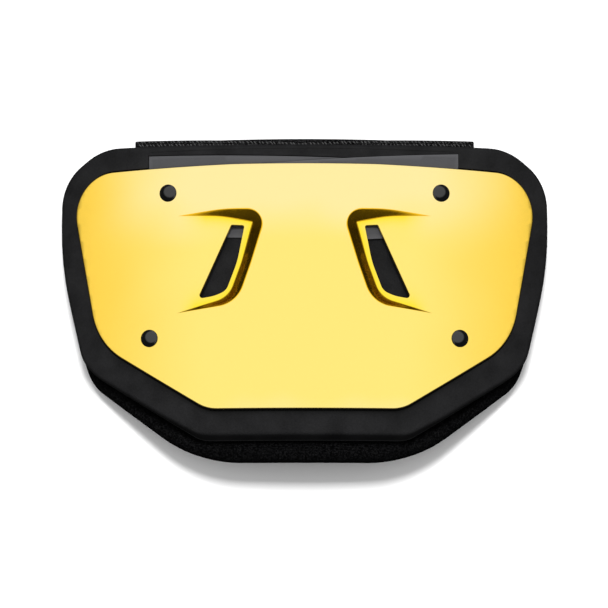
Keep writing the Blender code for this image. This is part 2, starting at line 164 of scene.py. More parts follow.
# Pad behind the foam
PAD_FRONT = FOAM_BACK + GAP
PAD_THICKNESS = 0.0220
PAD_EDGE_THINNING = 0.0070
PAD_RIM = 0.0070
TAB_RIM = 0.0012
PAD_HALF_WIDTH = FOAM_HALF_WIDTH - 0.0046
PAD_TOP = FOAM_TOP + 0.0072
PAD_BOTTOM = FOAM_BOTTOM + 0.0120
PAD_OUTLINE_STEP = 0.7
PAD_CREASE = 60
TAB_START = 0.87
TAB_FADE = 0.004
# Reach and fade of the painted shade on the pad beside the foam's edge
TUCK_SHADE = 0.0030
TUCK_SHADE_FADE = 0.4

# Swelling of the pad's cover: what is held, and where it may move furthest
HELD_DEPTH = 0.0006
HELD_TOP = 0.006
SWELL_START = 0.004
SWELL_RUN = 0.022

# Seams on the pad's back, and the stitches
SEAM_INSET = 0.016
SEAM_STEP = 0.004
SEAM_LEAST = 0.0152
SPINE = 0.024
SPINE_TOP = 0.018
SEAM_DRAW = 0.0016
SEAM_WIDTH = 0.0028
SEAM_STITCH = 0.72
TAB_END = 0.0025
TAB_ROWS = ((0.0017, 0.0), (0.0040, 0.5))
TAB_WANDER = 0.0004
TAB_STITCH = 0.0008
TAB_STITCH_CHANGE = 0.0002
TAB_THREAD = 0.65

# Rivets
RIVET_HEAD_RADIUS = 0.0057
RIVET_HEAD_HEIGHT = 0.0027
RIVET_SLOPE = math.radians(44)
RIVET_RIM = 0.0005
RIVET_SHANK_RADIUS = 0.0024
RIVET_TAIL_RADIUS = 0.0050
RIVET_TAIL_THICKNESS = 0.0020
RIVET_CLEARANCE = 0.0004
RIVET_DOME_STEPS = 12
RIVET_RIM_STEPS = 6
RIVET_RIM_DROP = 1.2
RIVET_CREASE = 40
RIVET_HOLE_SIDES = 24
SEAT_WALL = 0.0002
SEAT_EDGE = 0.0001

# Stage
FLOOR_HEIGHT = -0.0002
DOME_EDGE = (0.35, 0.64)
SOFTBOX_PLACE = (0.0, 0.68, 2.1)
CAMERA_TARGET = -0.0061
CAMERA_SENSOR = 36.0
CAMERA_SHIFT = (-0.6 / 608, -2.0 / 608)

# Outlines of the right half, top to bottom: corner, share of the half width, share of
# the half height above (+) or below (-) the middle, fillet radius as a share of the
# half width
PLATE_CORNERS = (
    ("crown", 0.000, 0.997, 12.330),
    ("shoulder", 0.999, 0.950, 0.172),
    ("hip", 0.855, -0.445, 0.278),
    ("foot", 0.390, -0.995, 0.153),
)
FOAM_CORNERS = (
    ("crown", 0.000, 0.973, 11.792),
    ("shoulder_inner", 0.822, 1.000, 0.250),
    ("shoulder_outer", 0.999, 0.782, 0.205),
    ("side", 1.000, 0.196, 1.131),
    ("hip", 0.885, -0.530, 0.210),
    ("foot", 0.407, -0.991, 0.130),
)
PAD_CORNERS = (
    ("crown", 0.000, 0.952, 12.121),
    ("tab", 0.729, 0.993, 0.007),
    ("step", 0.729, 0.880, 0.048),
    ("shoulder", 0.990, 0.830, 0.182),
    ("side", 0.979, -0.374, 0.182),
    ("hip", 0.930, -0.546, 0.221),
    ("foot", 0.456, -1.005, 0.606),
)

# Vent outlines: point, share of the vent's width from its inner side, share of the
# vent's height from its top, fillet radius as a share of the vent's width
VENT_RIM = (
    ("upper_tip", 1.000, 0.070, 0.000),
    ("top", 0.460, 0.007, 2.000),
    ("inner_top", -0.069, 0.010, 0.205),
    ("inner_side", 0.132, 0.550, 1.000),
    ("inner_bottom", 0.294, 0.938, 0.348),
    ("lower_tip", 1.000, 1.021, 0.000),
)
VENT_FLOOR = (
    ("upper_tip", 1.000, 0.070, 0.000),
    ("top", 0.505, 0.080, 1.400),
    ("inner_top", 0.135, 0.135, 0.000),
    ("inner_side", 0.258, 0.520, 1.400),
    ("inner_bottom", 0.412, 0.864, 0.300),
    ("lower_tip", 1.000, 1.021, 0.000),
)
VENT_SLOT = (
    ("top_outer", 0.374, 0.165, 0.018),
    ("top_inner", 0.227, 0.170, 0.018),
    ("inner_side", 0.312, 0.520, 1.000),
    ("bottom_inner", 0.440, 0.800, 0.150),
    ("bottom", 0.576, 0.853, 0.500),
    ("bottom_outer", 0.760, 0.880, 0.030),
)

# Rivets on the right half: row, share of the plate's half width and half height
RIVET_ROWS = (
    ("upper", 0.554, 0.760),
    ("lower", 0.628, -0.417),
)
# Straps: side, layer (0 lies nearest the shell), fall of its top edge for each metre
# towards the far side, share of its width that stands above the shell's top
STRAPS = (
    ("left", -1, 1, 0.028, 0.122),
    ("right", 1, 0, 0.066, 0.1445),
)


# The flat layout, and how it bends round the wearer's back


def wrap(places, depth):
    """Bend flat places round the cylinder."""
    angle = places[:, 0] / ARC_RADIUS
    radius = ARC_RADIUS - depth
    height = CROWN_HEIGHT - ARC_RADIUS + radius * np.cos(angle)
    return np.column_stack((radius * np.sin(angle), places[:, 1] - MIDDLE_ALONG, height))


def unwrapped_depth(points):
    """Depth of bent points below the shell's outer face."""
    height = points[:, 2] - CROWN_HEIGHT + ARC_RADIUS
    return ARC_RADIUS - np.hypot(points[:, 0], height)


def fillet(before, corner, after, radius):
    """Points of the arc that rounds one corner of an outline."""
    back = (before - corner).normalized()
    ahead = (after - corner).normalized()
    half = back.angle(ahead) / 2
    turn = math.pi - 2 * half
    if radius <= 0 or turn < STRAIGHT:
        return [corner]
    shortest = min((before - corner).length, (after - corner).length)
    reach = min(radius / math.tan(half), shortest * FILLET_REACH)
    radius = reach * math.tan(half)
    centre = corner + (back + ahead).normalized() * (radius / math.sin(half))
    start = corner + back * reach - centre
    steps = max(1, math.ceil(turn / ARC_STEP))
    cross = back.x * ahead.y - back.y * ahead.x
    spin = turn if cross < 0 else -turn
    points = []
    for step in range(steps + 1):
        arm = start.copy()
        arm.rotate(Matrix.Rotation(spin * step / steps, 2))
        points.append(centre + arm)
    return points


def rounded(corners, closed=True):
    """An outline from (place, radius) corners, clockwise or not as they come."""
    points = []
    last = len(corners) - 1
    for index, (place, radius) in enumerate(corners):
        if not closed and index in (0, last):
            points.append(place)
            continue
        before = corners[index - 1][0]
        after = corners[(index + 1) % len(corners)][0]
        points.extend(fillet(before, place, after, radius))
    return np.array([[point.x, point.y] for point in points])


def both_halves(rows, half_width, top, bottom):
    """The whole outline, clockwise, from the rows of its right half."""
    right = []
    for _, across, along, share in rows:
        height = along * (top if along > 0 else bottom)
        right.append((Vector((across * half_width, height)), share * half_width))
    left = [(Vector((-place.x, place.y)), radius) for place, radius in reversed(right) if place.x > 0]
    return rounded(right + left)


def plate_outline():
    """The shell's outline."""
    return both_halves(PLATE_CORNERS, PLATE_HALF_WIDTH, PLATE_HALF_HEIGHT, PLATE_HALF_HEIGHT)


def foam_outline():
    """The foam board's outline."""
    return both_halves(FOAM_CORNERS, FOAM_HALF_WIDTH, FOAM_TOP, FOAM_BOTTOM)


def pad_outline():
    """The pad's outline."""
    return both_halves(PAD_CORNERS, PAD_HALF_WIDTH, PAD_TOP, PAD_BOTTOM)


def vent_outline(rows, side, closed=True):
    """A vent's outline on one side of the shell."""
    corners = []
    for _, across, down, share in rows:
        place = Vector((side * (VENT_INNER + across * VENT_WIDTH), VENT_TOP - down * VENT_HEIGHT))
        corners.append((place, share * VENT_WIDTH))
    return rounded(corners, closed)


def spaced(loop, step, closed=True):
    """An outline with extra points, so that no stretch is longer than a step."""
    ends = np.roll(loop, -1, axis=0) if closed else loop[1:]
    points = []
    for here, ahead in zip(loop, ends):
        count = max(1, math.ceil(np.linalg.norm(ahead - here) / step))
        points.extend(here + (ahead - here) * part / count for part in range(count))
    if not closed:
        points.append(loop[-1])
    return np.array(points)


def resampled(path, count):
    """An open path as a number of evenly spread points."""
    runs = np.linalg.norm(np.diff(path, axis=0), axis=1)
    travelled = np.concatenate(([0.0], np.cumsum(runs)))
    wanted = np.linspace(0.0, travelled[-1], count)
    return np.column_stack([np.interp(wanted, travelled, path[:, axis]) for axis in (0, 1)])


def inset(loop, away):
    """The outline moved inwards, or outwards with a negative distance, less any folds."""
    ahead = np.roll(loop, -1, axis=0)
    area = np.sum(loop[:, 0] * ahead[:, 1] - ahead[:, 0] * loop[:, 1])
    run = ahead - loop
    run /= np.maximum(np.linalg.norm(run, axis=1), TOUCHING)[:, None]
    inward = np.column_stack((-run[:, 1], run[:, 0])) * np.sign(area)
    both = inward + np.roll(inward, 1, axis=0)
    both /= np.maximum(np.sum(both * inward, axis=1), MITRE_LIMIT)[:, None]
    moved = loop + both * away
    return moved[distance(moved, loop) > abs(away) * FOLDED]


def circle(centre, radius, sides=32):
    """A round outline."""
    angles = np.linspace(0.0, 2 * math.pi, sides, endpoint=False)
    return np.array(centre) + radius * np.column_stack((np.cos(angles), np.sin(angles)))


def inside(places, loop):
    """Which places lie inside a closed outline."""
    found = np.zeros(len(places), bool)
    across, along = places[:, 0], places[:, 1]
    for here, last in zip(loop, np.roll(loop, 1, axis=0)):
        if here[1] == last[1]:
            continue
        spans = (here[1] > along) != (last[1] > along)
        crossing = last[0] + (along - last[1]) * (here[0] - last[0]) / (here[1] - last[1])
        found ^= spans & (across < crossing)
    return found


def distance(places, loop, closed=True):
    """Distance from each place to the nearest stretch of an outline."""
    ends = np.roll(loop, -1, axis=0) if closed else loop[1:]
    nearest = np.full(len(places), np.inf)
    for start, end in zip(loop, ends):
        run = end - start
        share = np.clip((places - start) @ run / max(run @ run, TOUCHING**2), 0.0, 1.0)
        away = places - start - share[:, None] * run
        nearest = np.minimum(nearest, np.hypot(away[:, 0], away[:, 1]))
    return nearest


def roll(away, radius):
    """Extra depth of a rounded edge, by the distance from it."""
    rest = np.clip(radius - away, 0.0, radius)
    return radius - np.sqrt(np.maximum(radius**2 - rest**2, 0.0))


def roll_distances(radius, steps=5):
    """Distances from an edge at which a rounded edge is resolved."""
    return [radius * (1 - math.cos(math.pi / 2 * step / steps)) for step in range(steps + 1)]


def even(low, high, step, keep=()):
    """Even places from low to high, with some places kept exactly."""
    count = max(1, math.ceil((high - low) / step))
    places = [low + (high - low) * index / count for index in range(count + 1)]
    for place in keep:
        places[min(range(len(places)), key=lambda index: abs(places[index] - place))] = place
    return places


def fill(outline, loops, holes, step, keep_along=()):
    """Flat places and triangles that fill an outline, with the edges of every loop kept."""
    rings = [(loop, True) if not isinstance(loop, tuple) else loop for loop in loops]
    rings = [(outline, True)] + rings + [(hole, True) for hole in holes]
    low, high = outline.min(axis=0), outline.max(axis=0)
    across, along = np.meshgrid(even(low[0], high[0], step), even(low[1], high[1], step, keep_along))
    spots = np.column_stack((across.ravel(), along.ravel()))
    keep = inside(spots, outline)
    for hole in holes:
        keep &= ~inside(spots, hole)
    spots = spots[keep]
    for ring, closed in rings:
        spots = spots[distance(spots, ring, closed) > step * RING_CLEAR]
    points = [Vector(spot) for spot in spots]
    edges = []
    for ring, closed in rings:
        first = len(points)
        points.extend(Vector(place) for place in ring)
        count = len(ring)
        stretches = count if closed else count - 1
        edges.extend((first + index, first + (index + 1) % count) for index in range(stretches))
    found, _, faces, _, _, _ = delaunay_2d_cdt(points, edges, [], 0, TOUCHING)
    places = np.array([[place.x, place.y] for place in found])
    triangles = np.array([face[:] for face in faces])
    a, b, c = (places[triangles[:, corner]] for corner in range(3))
    size = (b[:, 0] - a[:, 0]) * (c[:, 1] - a[:, 1]) - (b[:, 1] - a[:, 1]) * (c[:, 0] - a[:, 0])
    middle = (a + b + c) / 3
    keep = inside(middle, outline) & (np.abs(size) > SLIVER)
    for hole in holes:
        keep &= ~inside(middle, hole)
    triangles[size < 0] = triangles[size < 0][:, ::-1]
    triangles = triangles[keep]
    used, index = np.unique(triangles, return_inverse=True)
    return places[used], index.reshape(-1, 3)


def closed_mesh(name, places, triangles, front, back, turn=35):
    """A mesh closed between its front and back depths, with walls along every open edge."""
    count = len(places)
    points = np.vstack((wrap(places, front), wrap(places, back)))
    faces = [tuple(face) for face in triangles.tolist()]
    faces += [tuple(corner + count for corner in reversed(face)) for face in triangles.tolist()]
    uses = {}
    for face in triangles.tolist():
        for index in range(3):
            a, b = face[index], face[(index + 1) % 3]
            uses[(a, b)] = uses.get((a, b), 0) + 1
    for a, b in uses:
        if (b, a) not in uses:
            faces.append((b, a, a + count, b + count))
    mesh = bpy.data.meshes.new(name)
    mesh.from_pydata(points.tolist(), [], faces)
    mesh.validate()
    flat = mesh.uv_layers.new(name="flat")
    places_twice = np.vstack((places, places))
    corners = np.zeros(len(mesh.loops), np.int32)
    mesh.loops.foreach_get("vertex_index", corners)
    flat.data.foreach_set("uv", places_twice[corners].astype(np.float32).ravel())
    mesh.shade_smooth()
    mesh.set_sharp_from_angle(angle=math.radians(turn))
    return mesh


def rivet_places():
    """Name and flat place of each rivet."""
    places = []
    for row, across, along in RIVET_ROWS:
        for word, side in (("left", -1), ("right", 1)):
            places.append((f"{row}_{word}", (side * across * PLATE_HALF_WIDTH, along * PLATE_HALF_HEIGHT)))
    return places


def vent_sink(places):
    """Depth of a vent's floor, from flush at its tips to full depth at its inner wall."""
    top, bottom, upper, lower = VENT_FLOOR[2], VENT_FLOOR[4], VENT_FLOOR[0], VENT_FLOOR[5]
    down = (VENT_TOP - places[:, 1]) / VENT_HEIGHT
    wall = top[1] + (down - top[2]) * (bottom[1] - top[1]) / (bottom[2] - top[2])
    edge = upper[1] + (down - upper[2]) * (lower[1] - upper[1]) / (lower[2] - upper[2])
    across = (np.abs(places[:, 0]) - VENT_INNER) / VENT_WIDTH
    share = np.clip((edge - across) / (edge - wall), 0.0, 1.0)
    return VENT_DEPTH * share**VENT_RAMP_CURVE


def strap_sink(along):
    """Extra depth that takes the straps and the tray's floor below the vents."""
    share = (PLATE_HALF_HEIGHT - along) / (PLATE_HALF_HEIGHT - VENT_TOP - GAP)
    return VENT_DEPTH * np.clip(share, 0.0, 1.0)


def strap_end():
    """Distance of a strap's outer end from the middle."""
    return RIVET_ROWS[0][1] * PLATE_HALF_WIDTH + STRAP_TAIL


def strap_top(across):
    """Height of the straps' upper edge."""
    top = np.full(len(across), -PLATE_HALF_HEIGHT)
    for _, side, _, fall, rise in STRAPS:
        run = strap_end() - side * across
        line = PLATE_HALF_HEIGHT + rise * STRAP_WIDTH - fall * run
        top = np.where(run <= strap_end() + STRAP_OVERREACH, np.maximum(top, line), top)
    return top


def crossing_edge(across):
    """Height of the right strap's upper edge, where it lies over the left strap."""
    _, side, _, fall, rise = STRAPS[1]
    return PLATE_HALF_HEIGHT + rise * STRAP_WIDTH - fall * (strap_end() - side * across)


def slant_share(along):
    """How far the foam's slanted side has grown: none at the sides, most along the foot."""
    start = np.clip((SLANT_TOP - along) / SLANT_FADE, 0.0, 1.0)
    foot = np.clip((SLANT_FOOT - along) / SLANT_FOOT_FADE, 0.0, 1.0)
    return start * (0.5 + 0.5 * foot)


def face_places(mesh):
    """Flat place of the middle of each face."""
    flat = np.zeros(len(mesh.loops) * 2, np.float32)
    mesh.uv_layers["flat"].data.foreach_get("uv", flat)
    starts = np.zeros(len(mesh.polygons), np.int32)
    totals = np.zeros(len(mesh.polygons), np.int32)
    mesh.polygons.foreach_get("loop_start", starts)
    mesh.polygons.foreach_get("loop_total", totals)
    return np.add.reduceat(flat.reshape(-1, 2).astype(float), starts, axis=0) / totals[:, None]


def mark(mesh, name, values, domain="POINT"):
    """Keep a share for each point or face under a name."""
    layer = mesh.attributes.new(name, "FLOAT", domain)
    layer.data.foreach_set("value", np.asarray(values, np.float32))


# Finishes


class Finish:
    """A material's node tree, with short ways to add and join nodes."""

    def __init__(self, name):
        self.material = bpy.data.materials.new(name)
        self.material.use_nodes = True
        self.tree = self.material.node_tree
        self.shader = self.tree.nodes["Principled BSDF"]

    def set(self, **values):
        """Put plain values on the shader's own sockets."""
        for name, value in values.items():
            self.shader.inputs[name.replace("_", " ")].default_value = value
        return self

    def add(self, kind, inputs=(), **options):
        """Add a node. Inputs are values or sockets, in the order of the node's inputs or by name."""
        node = self.tree.nodes.new("ShaderNode" + kind)
        for name, value in options.items():
            setattr(node, name, value)
        pairs = inputs.items() if isinstance(inputs, dict) else enumerate(inputs)
        for name, value in pairs:
            if value is None:
                continue
            if isinstance(value, bpy.types.NodeSocket):
                self.tree.links.new(value, node.inputs[name])
            else:
                node.inputs[name].default_value = value
        return node

    def math(self, operation, *inputs):
        """The result of one step of arithmetic."""
        return self.add("Math", inputs, operation=operation).outputs[0]

    def place(self):
        """The point's place on the object, in metres."""
        return self.add("TexCoord").outputs["Object"]

    def flat(self):
        """The point's flat place, in metres, for a piece made from a flat layout."""
        return self.add("UVMap", uv_map="flat").outputs["UV"]

    def marked(self, name):
        """The share that a mesh keeps under a name."""
        return self.add("Attribute", attribute_name=name).outputs["Fac"]

    def noise(self, vector, scale, detail=2.0, roughness=0.5):
        """Soft noise of a given scale per metre, from 0 to 1."""
        inputs = {"Vector": vector, "Scale": scale, "Detail": detail, "Roughness": roughness}
        return self.add("TexNoise", inputs).outputs[0]

    def span(self, value, low, high, to_low=0.0, to_high=1.0, smooth=False):
        """A value moved from one span to another, and kept inside it."""
        kind = "SMOOTHSTEP" if smooth else "LINEAR"
        return self.add("MapRange", (value, low, high, to_low, to_high), interpolation_type=kind).outputs[0]

    def mix(self, share, first, second):
        """A colour between two colours."""
        node = self.add("Mix", data_type="RGBA")
        sockets = [s for s in node.inputs if s.enabled]
        for socket, value in zip(sockets, (share, first, second)):
            if isinstance(value, bpy.types.NodeSocket):
                self.tree.links.new(value, socket)
            else:
                socket.default_value = value
        return next(s for s in node.outputs if s.enabled)

    def bump(self, height, depth, before=None, strength=1.0):
        """A surface raised by height times depth, on top of an earlier bump."""
        inputs = {"Strength": strength, "Distance": depth, "Height": height}
        if before is not None:
            inputs["Normal"] = before
        return self.add("Bump", inputs).outputs[0]

    def join(self, name, socket):
        """Join a socket to one of the shader's inputs."""
        self.tree.links.new(socket, self.shader.inputs[name])
        return self


def rgba(colour):
    """A colour with full opacity."""
    return (*colour[:3], 1.0)


def tinted(colour, factor):
    """A colour made lighter or darker, with full opacity."""
    return rgba(tuple(min(1.0, value * factor) for value in colour))


def plated_gold(settings):
    """Bright plating with painted reflection, paler at the top and deeper at the sides, and brown walls in
    the vents from painted shade and reflection.
    """
    gold = Finish("plated_gold").set(Metallic=1.0)
    place = gold.place()
    axes = gold.add("SeparateXYZ", (place,))
    # Painted reflection: the gold turns deeper towards the sides and paler towards the top and the foot, as
    # the overhead light falls on it
    drift = gold.math("SUBTRACT", gold.noise(place, 22.0, 1.0), 0.5)
    away = gold.math("ADD", gold.math("ABSOLUTE", axes.outputs[0]), gold.math("MULTIPLY", drift, 0.02))
    outward = gold.span(away, 0.060, 0.150, smooth=True)
    middle = gold.mix(outward, rgba(settings.crown_colour), rgba(settings.side_colour))
    high = gold.math("ADD", axes.outputs[1], gold.math("MULTIPLY", drift, 0.03))
    pale = gold.span(high, 0.028, 0.066, smooth=True)
    pale = gold.math("MULTIPLY", pale, gold.span(away, 0.150, 0.070, smooth=True))
    face = gold.mix(pale, middle, rgba(settings.top_colour))
    foot = gold.math("MULTIPLY", gold.span(high, -0.062, -0.078, smooth=True), 0.45)
    face = gold.mix(foot, face, rgba(settings.top_colour))
    # Painted reflection: more saturated yellow on the vents' floors beside the walls
    lip = gold.marked("lip")
    face = gold.mix(lip, face, rgba(settings.lip_colour))
    # Painted shade and reflection on the vents' walls: deeper, browner gold, painted reflection streaks
    # down the walls, and darker side walls
    down = gold.marked("down")
    reflection_streak = gold.math("MULTIPLY", gold.math("SUBTRACT", gold.noise(place, 130.0, 2.0), 0.5), 0.7)
    shade = gold.span(gold.math("ADD", down, reflection_streak), 0.30, 1.05, smooth=True)
    shade = gold.mix(shade, rgba(settings.wall_colour), rgba(settings.wall_glint))
    flank_shade = gold.marked("flank_shade")
    flank_shade = gold.math("MULTIPLY", flank_shade, gold.span(down, 0.04, 0.20, 0.0, 0.65))
    shade = gold.mix(flank_shade, shade, rgba(settings.flank_shade_colour))
    wall = gold.marked("wall")
    gold.join("Base Color", gold.mix(wall, face, shade))
    mottle = gold.noise(place, 420.0, 3.0, 0.6)
    blur = settings.roughness
    gold.join("Roughness", gold.span(mottle, 0.3, 0.7, blur * 0.85, blur * 1.25))
    ripple = gold.bump(gold.noise(place, 45.0, 1.0), 0.00006)
    gold.join("Normal", gold.bump(gold.noise(place, 1400.0, 2.0), 0.000006, ripple))
    return gold.material


def moulded_foam(settings):
    """Matt black foam with a fine closed-cell skin, painted shade below the shell's lower edge and a
    painted highlight along the slanted foot's back edge.
    """
    foam = Finish("moulded_foam").set(Specular_IOR_Level=0.12)
    place = foam.place()
    cells = foam.add("TexVoronoi", {"Vector": place, "Scale": 1.0 / settings.cell}).outputs["Distance"]
    cloud = foam.noise(place, 60.0, 3.0)
    grain = foam.noise(place, 1100.0, 2.0, 0.7)
    tone = foam.math("ADD", foam.math("MULTIPLY", cloud, 0.5), foam.math("MULTIPLY", grain, 0.5))
    light = tinted(settings.colour, 1.8)
    dark = tinted(settings.colour, 0.4)
    body = foam.mix(foam.span(tone, 0.3, 0.7), dark, light)
    # Painted shade on the foam below the shell's lower edge
    bed_and_shadow = foam.marked("bed_and_shadow")
    body = foam.mix(bed_and_shadow, body, tinted(settings.colour, 0.05))
    # Painted highlight along the back edge of the slanted foot
    edge = foam.marked("edge")
    foam.join("Base Color", foam.mix(edge, body, tinted(settings.colour, 5.0)))
    foam.join("Roughness", foam.span(grain, 0.2, 0.8, 0.55, 0.75))
    soft = foam.bump(cells, 0.00008)
    foam.join("Normal", foam.bump(grain, 0.00006, soft))
    return foam.material


def woven_webbing(settings):
    """Grey webbing in a fine plain weave, paler along its edges, with a painted shadow on the left strap
    beside the right strap's edge.
    """
    cloth = Finish("woven_webbing").set(Specular_IOR_Level=0.15, Sheen_Weight=0.10, Sheen_Roughness=0.5)
    flat = cloth.flat()
    axes = cloth.add("SeparateXYZ", (flat,))
    across = cloth.math("DIVIDE", axes.outputs[0], settings.weave)
    along = cloth.math("DIVIDE", axes.outputs[1], settings.weave)
    warp = cloth.math("ABSOLUTE", cloth.math("SINE", cloth.math("MULTIPLY", across, math.pi)))
    weft = cloth.math("ABSOLUTE", cloth.math("SINE", cloth.math("MULTIPLY", along, math.pi)))
    cells = cloth.math("ADD", cloth.math("FLOOR", across), cloth.math("FLOOR", along))
    odd = cloth.math("PINGPONG", cells, 1.0)
    over = cloth.math("MULTIPLY", warp, odd)
    under = cloth.math("MULTIPLY", weft, cloth.math("SUBTRACT", 1.0, odd))
    yarn = cloth.math("ADD", over, under)
    fuzz = cloth.noise(cloth.place(), 1800.0, 2.0, 0.7)
    cloud = cloth.noise(cloth.place(), 70.0, 2.0)
    tone = cloth.math("ADD", cloth.math("MULTIPLY", yarn, 0.4), cloth.math("MULTIPLY", fuzz, 0.3))
    tone = cloth.math("ADD", tone, cloth.math("MULTIPLY", cloud, 0.3))
    light = tinted(settings.colour, 1.25)
    dark = tinted(settings.colour, 0.70)
    body = cloth.mix(cloth.span(tone, 0.1, 0.7), dark, light)
    pale_edge = cloth.marked("pale_edge")
    body = cloth.mix(pale_edge, body, tinted(settings.colour, 1.5))
    # Painted shadow on the left strap beside the right strap's edge
    crossing = cloth.marked("crossing")
    cloth.join("Base Color", cloth.mix(crossing, body, tinted(settings.colour, 0.2)))
    cloth.set(Roughness=0.82)
    cloth.join("Normal", cloth.bump(tone, settings.weave * 0.2))
    return cloth.material


def knit_fabric(settings):
    """Black knit with columns of slanted stitches and a speckled yarn, coarser and paler on the tab, that
    paleness partly painted light, and with painted shade beside the foam's edge.
    """
    knit = Finish("knit_fabric").set(Specular_IOR_Level=0.02)
    place = knit.place()
    axes = knit.add("SeparateXYZ", (place,))
    lift = knit.math("MULTIPLY", axes.outputs[2], 0.7)
    column = knit.math("DIVIDE", knit.math("ADD", axes.outputs[0], lift), settings.knit)
    row = knit.math("DIVIDE", knit.math("ADD", axes.outputs[1], lift), settings.knit * 0.8)
    side = knit.math("PINGPONG", column, 0.5)
    leg = knit.math("ABSOLUTE", knit.math("SINE", knit.math("MULTIPLY", side, 2 * math.pi)))
    slant = knit.math("ADD", row, knit.math("MULTIPLY", side, 1.4))
    loop = knit.math("ABSOLUTE", knit.math("SINE", knit.math("MULTIPLY", slant, math.pi)))
    yarn = knit.math("MULTIPLY", loop, knit.math("POWER", leg, 0.5))
    speck = knit.noise(place, 1100.0, 1.0, 0.6)
    tone = knit.math("ADD", knit.math("MULTIPLY", yarn, 0.25), knit.math("MULTIPLY", speck, 0.75))
    share = knit.span(tone, 0.50, 0.64)
    body = knit.mix(share, rgba(settings.colour), rgba(settings.speck_colour))
    # Painted shade where the pad meets the foam's edge
    tuck_shade = knit.marked("tuck_shade")
    body = knit.mix(tuck_shade, body, tinted(settings.colour, 0.3))
    # The tab's paler yarn is partly its own colour and partly painted light on its upward face
    tab = knit.marked("tab")
    tab_yarn_and_light = knit.mix(share, rgba(settings.colour), rgba(settings.tab_colour))
    knit.join("Base Color", knit.mix(tab, body, tab_yarn_and_light))
    knit.set(Roughness=0.9)
    knit.join("Normal", knit.bump(tone, settings.knit * 0.3))
    return knit.material


def spun_thread(name, thread_colour):
    """Stitching thread with a twisted lay."""
    thread = Finish(name).set(Specular_IOR_Level=0.25, Roughness=0.6, Sheen_Weight=0.1)
    place = thread.place()
    fibre = thread.noise(place, 1600.0, 3.0, 0.7)
    light = tinted(thread_colour, 1.5)
    dark = tinted(thread_colour, 0.4)
    thread.join("Base Color", thread.mix(thread.span(fibre, 0.3, 0.7), dark, light))
    thread.join("Normal", thread.bump(fibre, 0.00015))
    return thread.material


def painted_black(settings):
    """Black paint on a pressed steel head, a little worn on top."""
    paint = Finish("painted_black").set(Specular_IOR_Level=0.55, Coat_Weight=0.30, Coat_Roughness=0.10)
    place = paint.place()
    fleck = paint.noise(place, 1500.0, 3.0, 0.65)
    worn = paint.span(fleck, 0.45, 0.75)
    paint.join("Base Color", paint.mix(worn, rgba(settings.colour), tinted(settings.colour, 2.2)))
    blur = settings.roughness
    paint.join("Roughness", paint.span(fleck, 0.3, 0.7, blur * 0.8, blur * 1.3))
    paint.join("Normal", paint.bump(fleck, 0.00003))
    return paint.material


def studio_floor(settings):
    """Pale paper with a faint grain."""
    paper = Finish("studio_paper").set(Specular_IOR_Level=0.0, Roughness=1.0)
    grain = paper.noise(paper.place(), 40.0, 2.0)
    dim = tinted(settings.floor_colour, 0.995)
    paper.join("Base Color", paper.mix(grain, dim, rgba(settings.floor_colour)))
    return paper.material


# Settings


def length(name, description, default):
    """A size in metres."""
    return FloatProperty(
        name=name,
        description=description,
        default=default,
        min=0.0,
        unit="LENGTH",
        precision=5,
    )


def colour(name, description, default):
    """A colour."""
    return FloatVectorProperty(
        name=name,
        description=description,
        default=default,
        size=3,
        min=0.0,
        max=1.0,
        subtype="COLOR",
    )


def share(name, description, default, high=1.0):
    """A plain number from 0."""
    return FloatProperty(
        name=name,
        description=description,
        default=default,
        min=0.0,
        max=high,
        subtype="FACTOR" if high == 1.0 else "NONE",
    )


def angle(name, description, degrees):
    """An angle, given in degrees."""
    return FloatProperty(
        name=name,
        description=description,
        default=math.radians(degrees),
        subtype="ANGLE",
    )


def number(name, description, default, low, high):
    """A whole number between two limits."""
    return IntProperty(name=name, description=description, default=default, min=low, max=high)


class ShellSettings(PropertyGroup):
    """Sizes and colours of the stamped shell."""

    step: length("Mesh Step", "Spacing of the shell's mesh points", 0.0024)
    edge_roll: length("Edge Roll", "Radius of the shell's rounded edge", 0.0009)
    slot_roll: length("Slot Roll", "Radius of the slots' rounded edges", 0.0005)
    # Painted reflection: the crown, top and side colours grade the gold from pale at the top to deep at the
    # sides
    crown_colour: colour("Crown Colour", "Plating on the middle of the shell", (1.0, 0.79, 0.20))
    top_colour: colour("Top Colour", "Paler plating towards the shell's top", (1.0, 0.82, 0.36))
    side_colour: colour("Side Colour", "Plating towards the sides", (1.0, 0.66, 0.080))
    # Painted reflection on the vents' floors beside the walls
    lip_colour: colour("Lip Colour", "Deeper plating beside the vents' walls", (1.0, 0.77, 0.035))
    # Painted shade and reflection: the vents' walls are deepened near the rim, streaked towards the foot
    # and darker on the side walls
    wall_colour: colour("Wall Colour", "Dark plating at the top of the vents' walls", (1.0, 0.56, 0.014))
    wall_glint: colour("Wall Glint", "Plating at the foot of the vents' walls", (0.85, 0.47, 0.012))
    flank_shade_colour: colour("Flank Colour", "Plating on the vents' side walls", (0.10, 0.055, 0.003))
    roughness: share("Roughness", "Blur of the shell's reflections", 0.16)


class FoamSettings(PropertyGroup):
    """Sizes and colours of the foam board."""

    step: length("Mesh Step", "Spacing of the board's mesh points", 0.0036)
    cell: length("Cell Size", "Size of the cells in the foam's skin", 0.0007)
    colour: colour("Colour", "Colour of the foam", (0.0078, 0.0078, 0.0082))


class StrapSettings(PropertyGroup):
    """Sizes and colours of the webbing straps."""

    step: length("Mesh Step", "Spacing of the straps' mesh points", 0.0030)
    weave: length("Weave", "Width of one yarn of the weave", 0.0006)
    colour: colour("Colour", "Colour of the webbing", (0.050, 0.050, 0.053))


